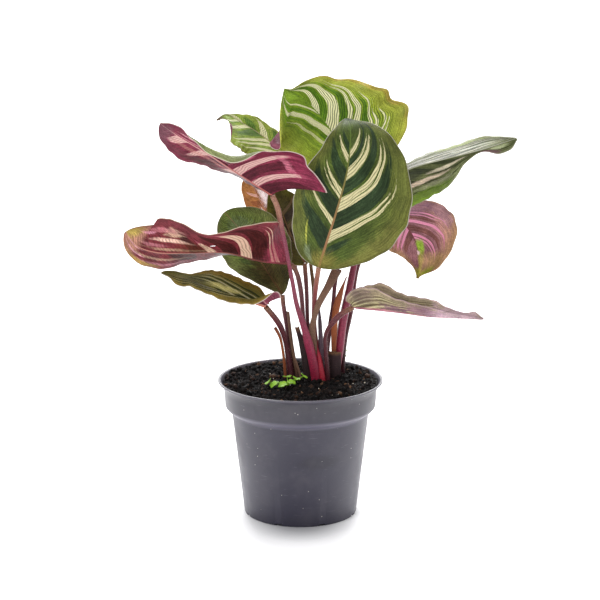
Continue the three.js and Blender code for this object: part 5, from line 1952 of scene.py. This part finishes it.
@dataclass(frozen=True)
class Studio:
    """Pale floor, soft lights and the camera."""

    floor_reach: float = 14.0
    world_strength: float = .4
    camera_place: Point = (-.0003, -1.6523, .5587)
    camera_tilt: float = 76.4
    lens: float = 141.1
    sensor: float = 36.0
    farthest: float = 100.0
    lamps: tuple[Lamp, ...] = (
        Lamp("key_light", (-1.0, -1.5, 2.0), .9, 29.0),
        Lamp("fill_light", (1.6, -.9, 1.1), 1.2, 6.0),
        Lamp("top_light", (.1, .6, 1.9), 1.4, 20.0),
        Lamp("backdrop_light", (0.0, 4.5, 3.0), 3.0, 260.0, (0, 3.0, 0)),
    )

    def build(self) -> None:
        """Sets up the whole studio."""
        self.floor()
        self.world()
        for lamp in self.lamps:
            lamp.build()
        self.camera()

    def floor(self) -> None:
        """Plain pale floor with a painted contact shadow near the pot, where its colour darkens;
        farther out it glows from within, the glow fading to nothing near the pot.
        """
        reach = self.floor_reach / MM
        square = np.array([(-reach, -reach, 0), (reach, -reach, 0), (reach, reach, 0),
                           (-reach, reach, 0)])
        finish = Finish("pale_floor")
        place = finish.place()
        x, y, _ = finish.split(place)
        out = finish.mul(finish.hypot(finish.mul(x, 1.4), finish.add(y, .015)), 5.0)
        pale = finish.ramp(finish.noise(place, 30.0, 2),
                           ((0.0, (244, 244, 245)), (1.0, (247, 247, 248))))
        # painted contact shadow: the floor's colour darkens towards the pot's foot
        foot = finish.ramp(out, ((.13, (172, 172, 175)), (.3, (255, 255, 255))))
        # the floor glows from within, more strongly farther from the pot; the glow fading out near
        # the pot deepens the painted shadow
        finish.put(finish.shader["Emission Color"],
                   finish.ramp(out, ((.17, (0, 0, 0)), (.5, (196, 196, 198)))))
        finish.shader["Emission Strength"].default_value = .9
        material = finish.done(finish.mix(1.0, pale, foot, "MULTIPLY"), .9)
        floor = build_object("studio_floor", square, [[0, 1, 2, 3]], None, (material,))

    def world(self) -> None:
        """Even white surroundings."""
        world = bpy.data.worlds.new("white_studio")
        world.use_nodes = True
        back = world.node_tree.nodes["Background"].inputs
        back["Color"].default_value = (1, 1, 1, 1)
        back["Strength"].default_value = self.world_strength
        bpy.context.scene.world = world
        bpy.context.scene.view_settings.view_transform = "Standard"

    def camera(self) -> None:
        """Camera at the photograph's viewing angle."""
        data = bpy.data.cameras.new("view")
        data.lens, data.sensor_width, data.clip_end = self.lens, self.sensor, self.farthest
        eye = bpy.data.objects.new("view", data)
        eye.location = self.camera_place
        eye.rotation_euler = (math.radians(self.camera_tilt), 0, 0)
        bpy.context.scene.collection.objects.link(eye)
        bpy.context.scene.camera = eye


def corners(box: tuple) -> list[list[float]]:
    """A box's two corners as plain lists of numbers."""
    return [[float(value) for value in corner] for corner in box]


def main() -> None:
    """Builds the studio and every piece of the plant."""
    logging.basicConfig(level=logging.INFO, format="%(message)s")
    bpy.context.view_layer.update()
    effects = Effects()
    Studio().build()
    Pot().build(effects)
    Soil().build()
    for seedling in SEEDLINGS:
        seedling.build()
    for stalk in STALKS:
        stalk.build(effects)
    Hairs().build([stalk for stalk in STALKS if stalk.seat])
    for blade in BLADES:
        blade.build(effects)


if __name__ == "__main__":
    main()
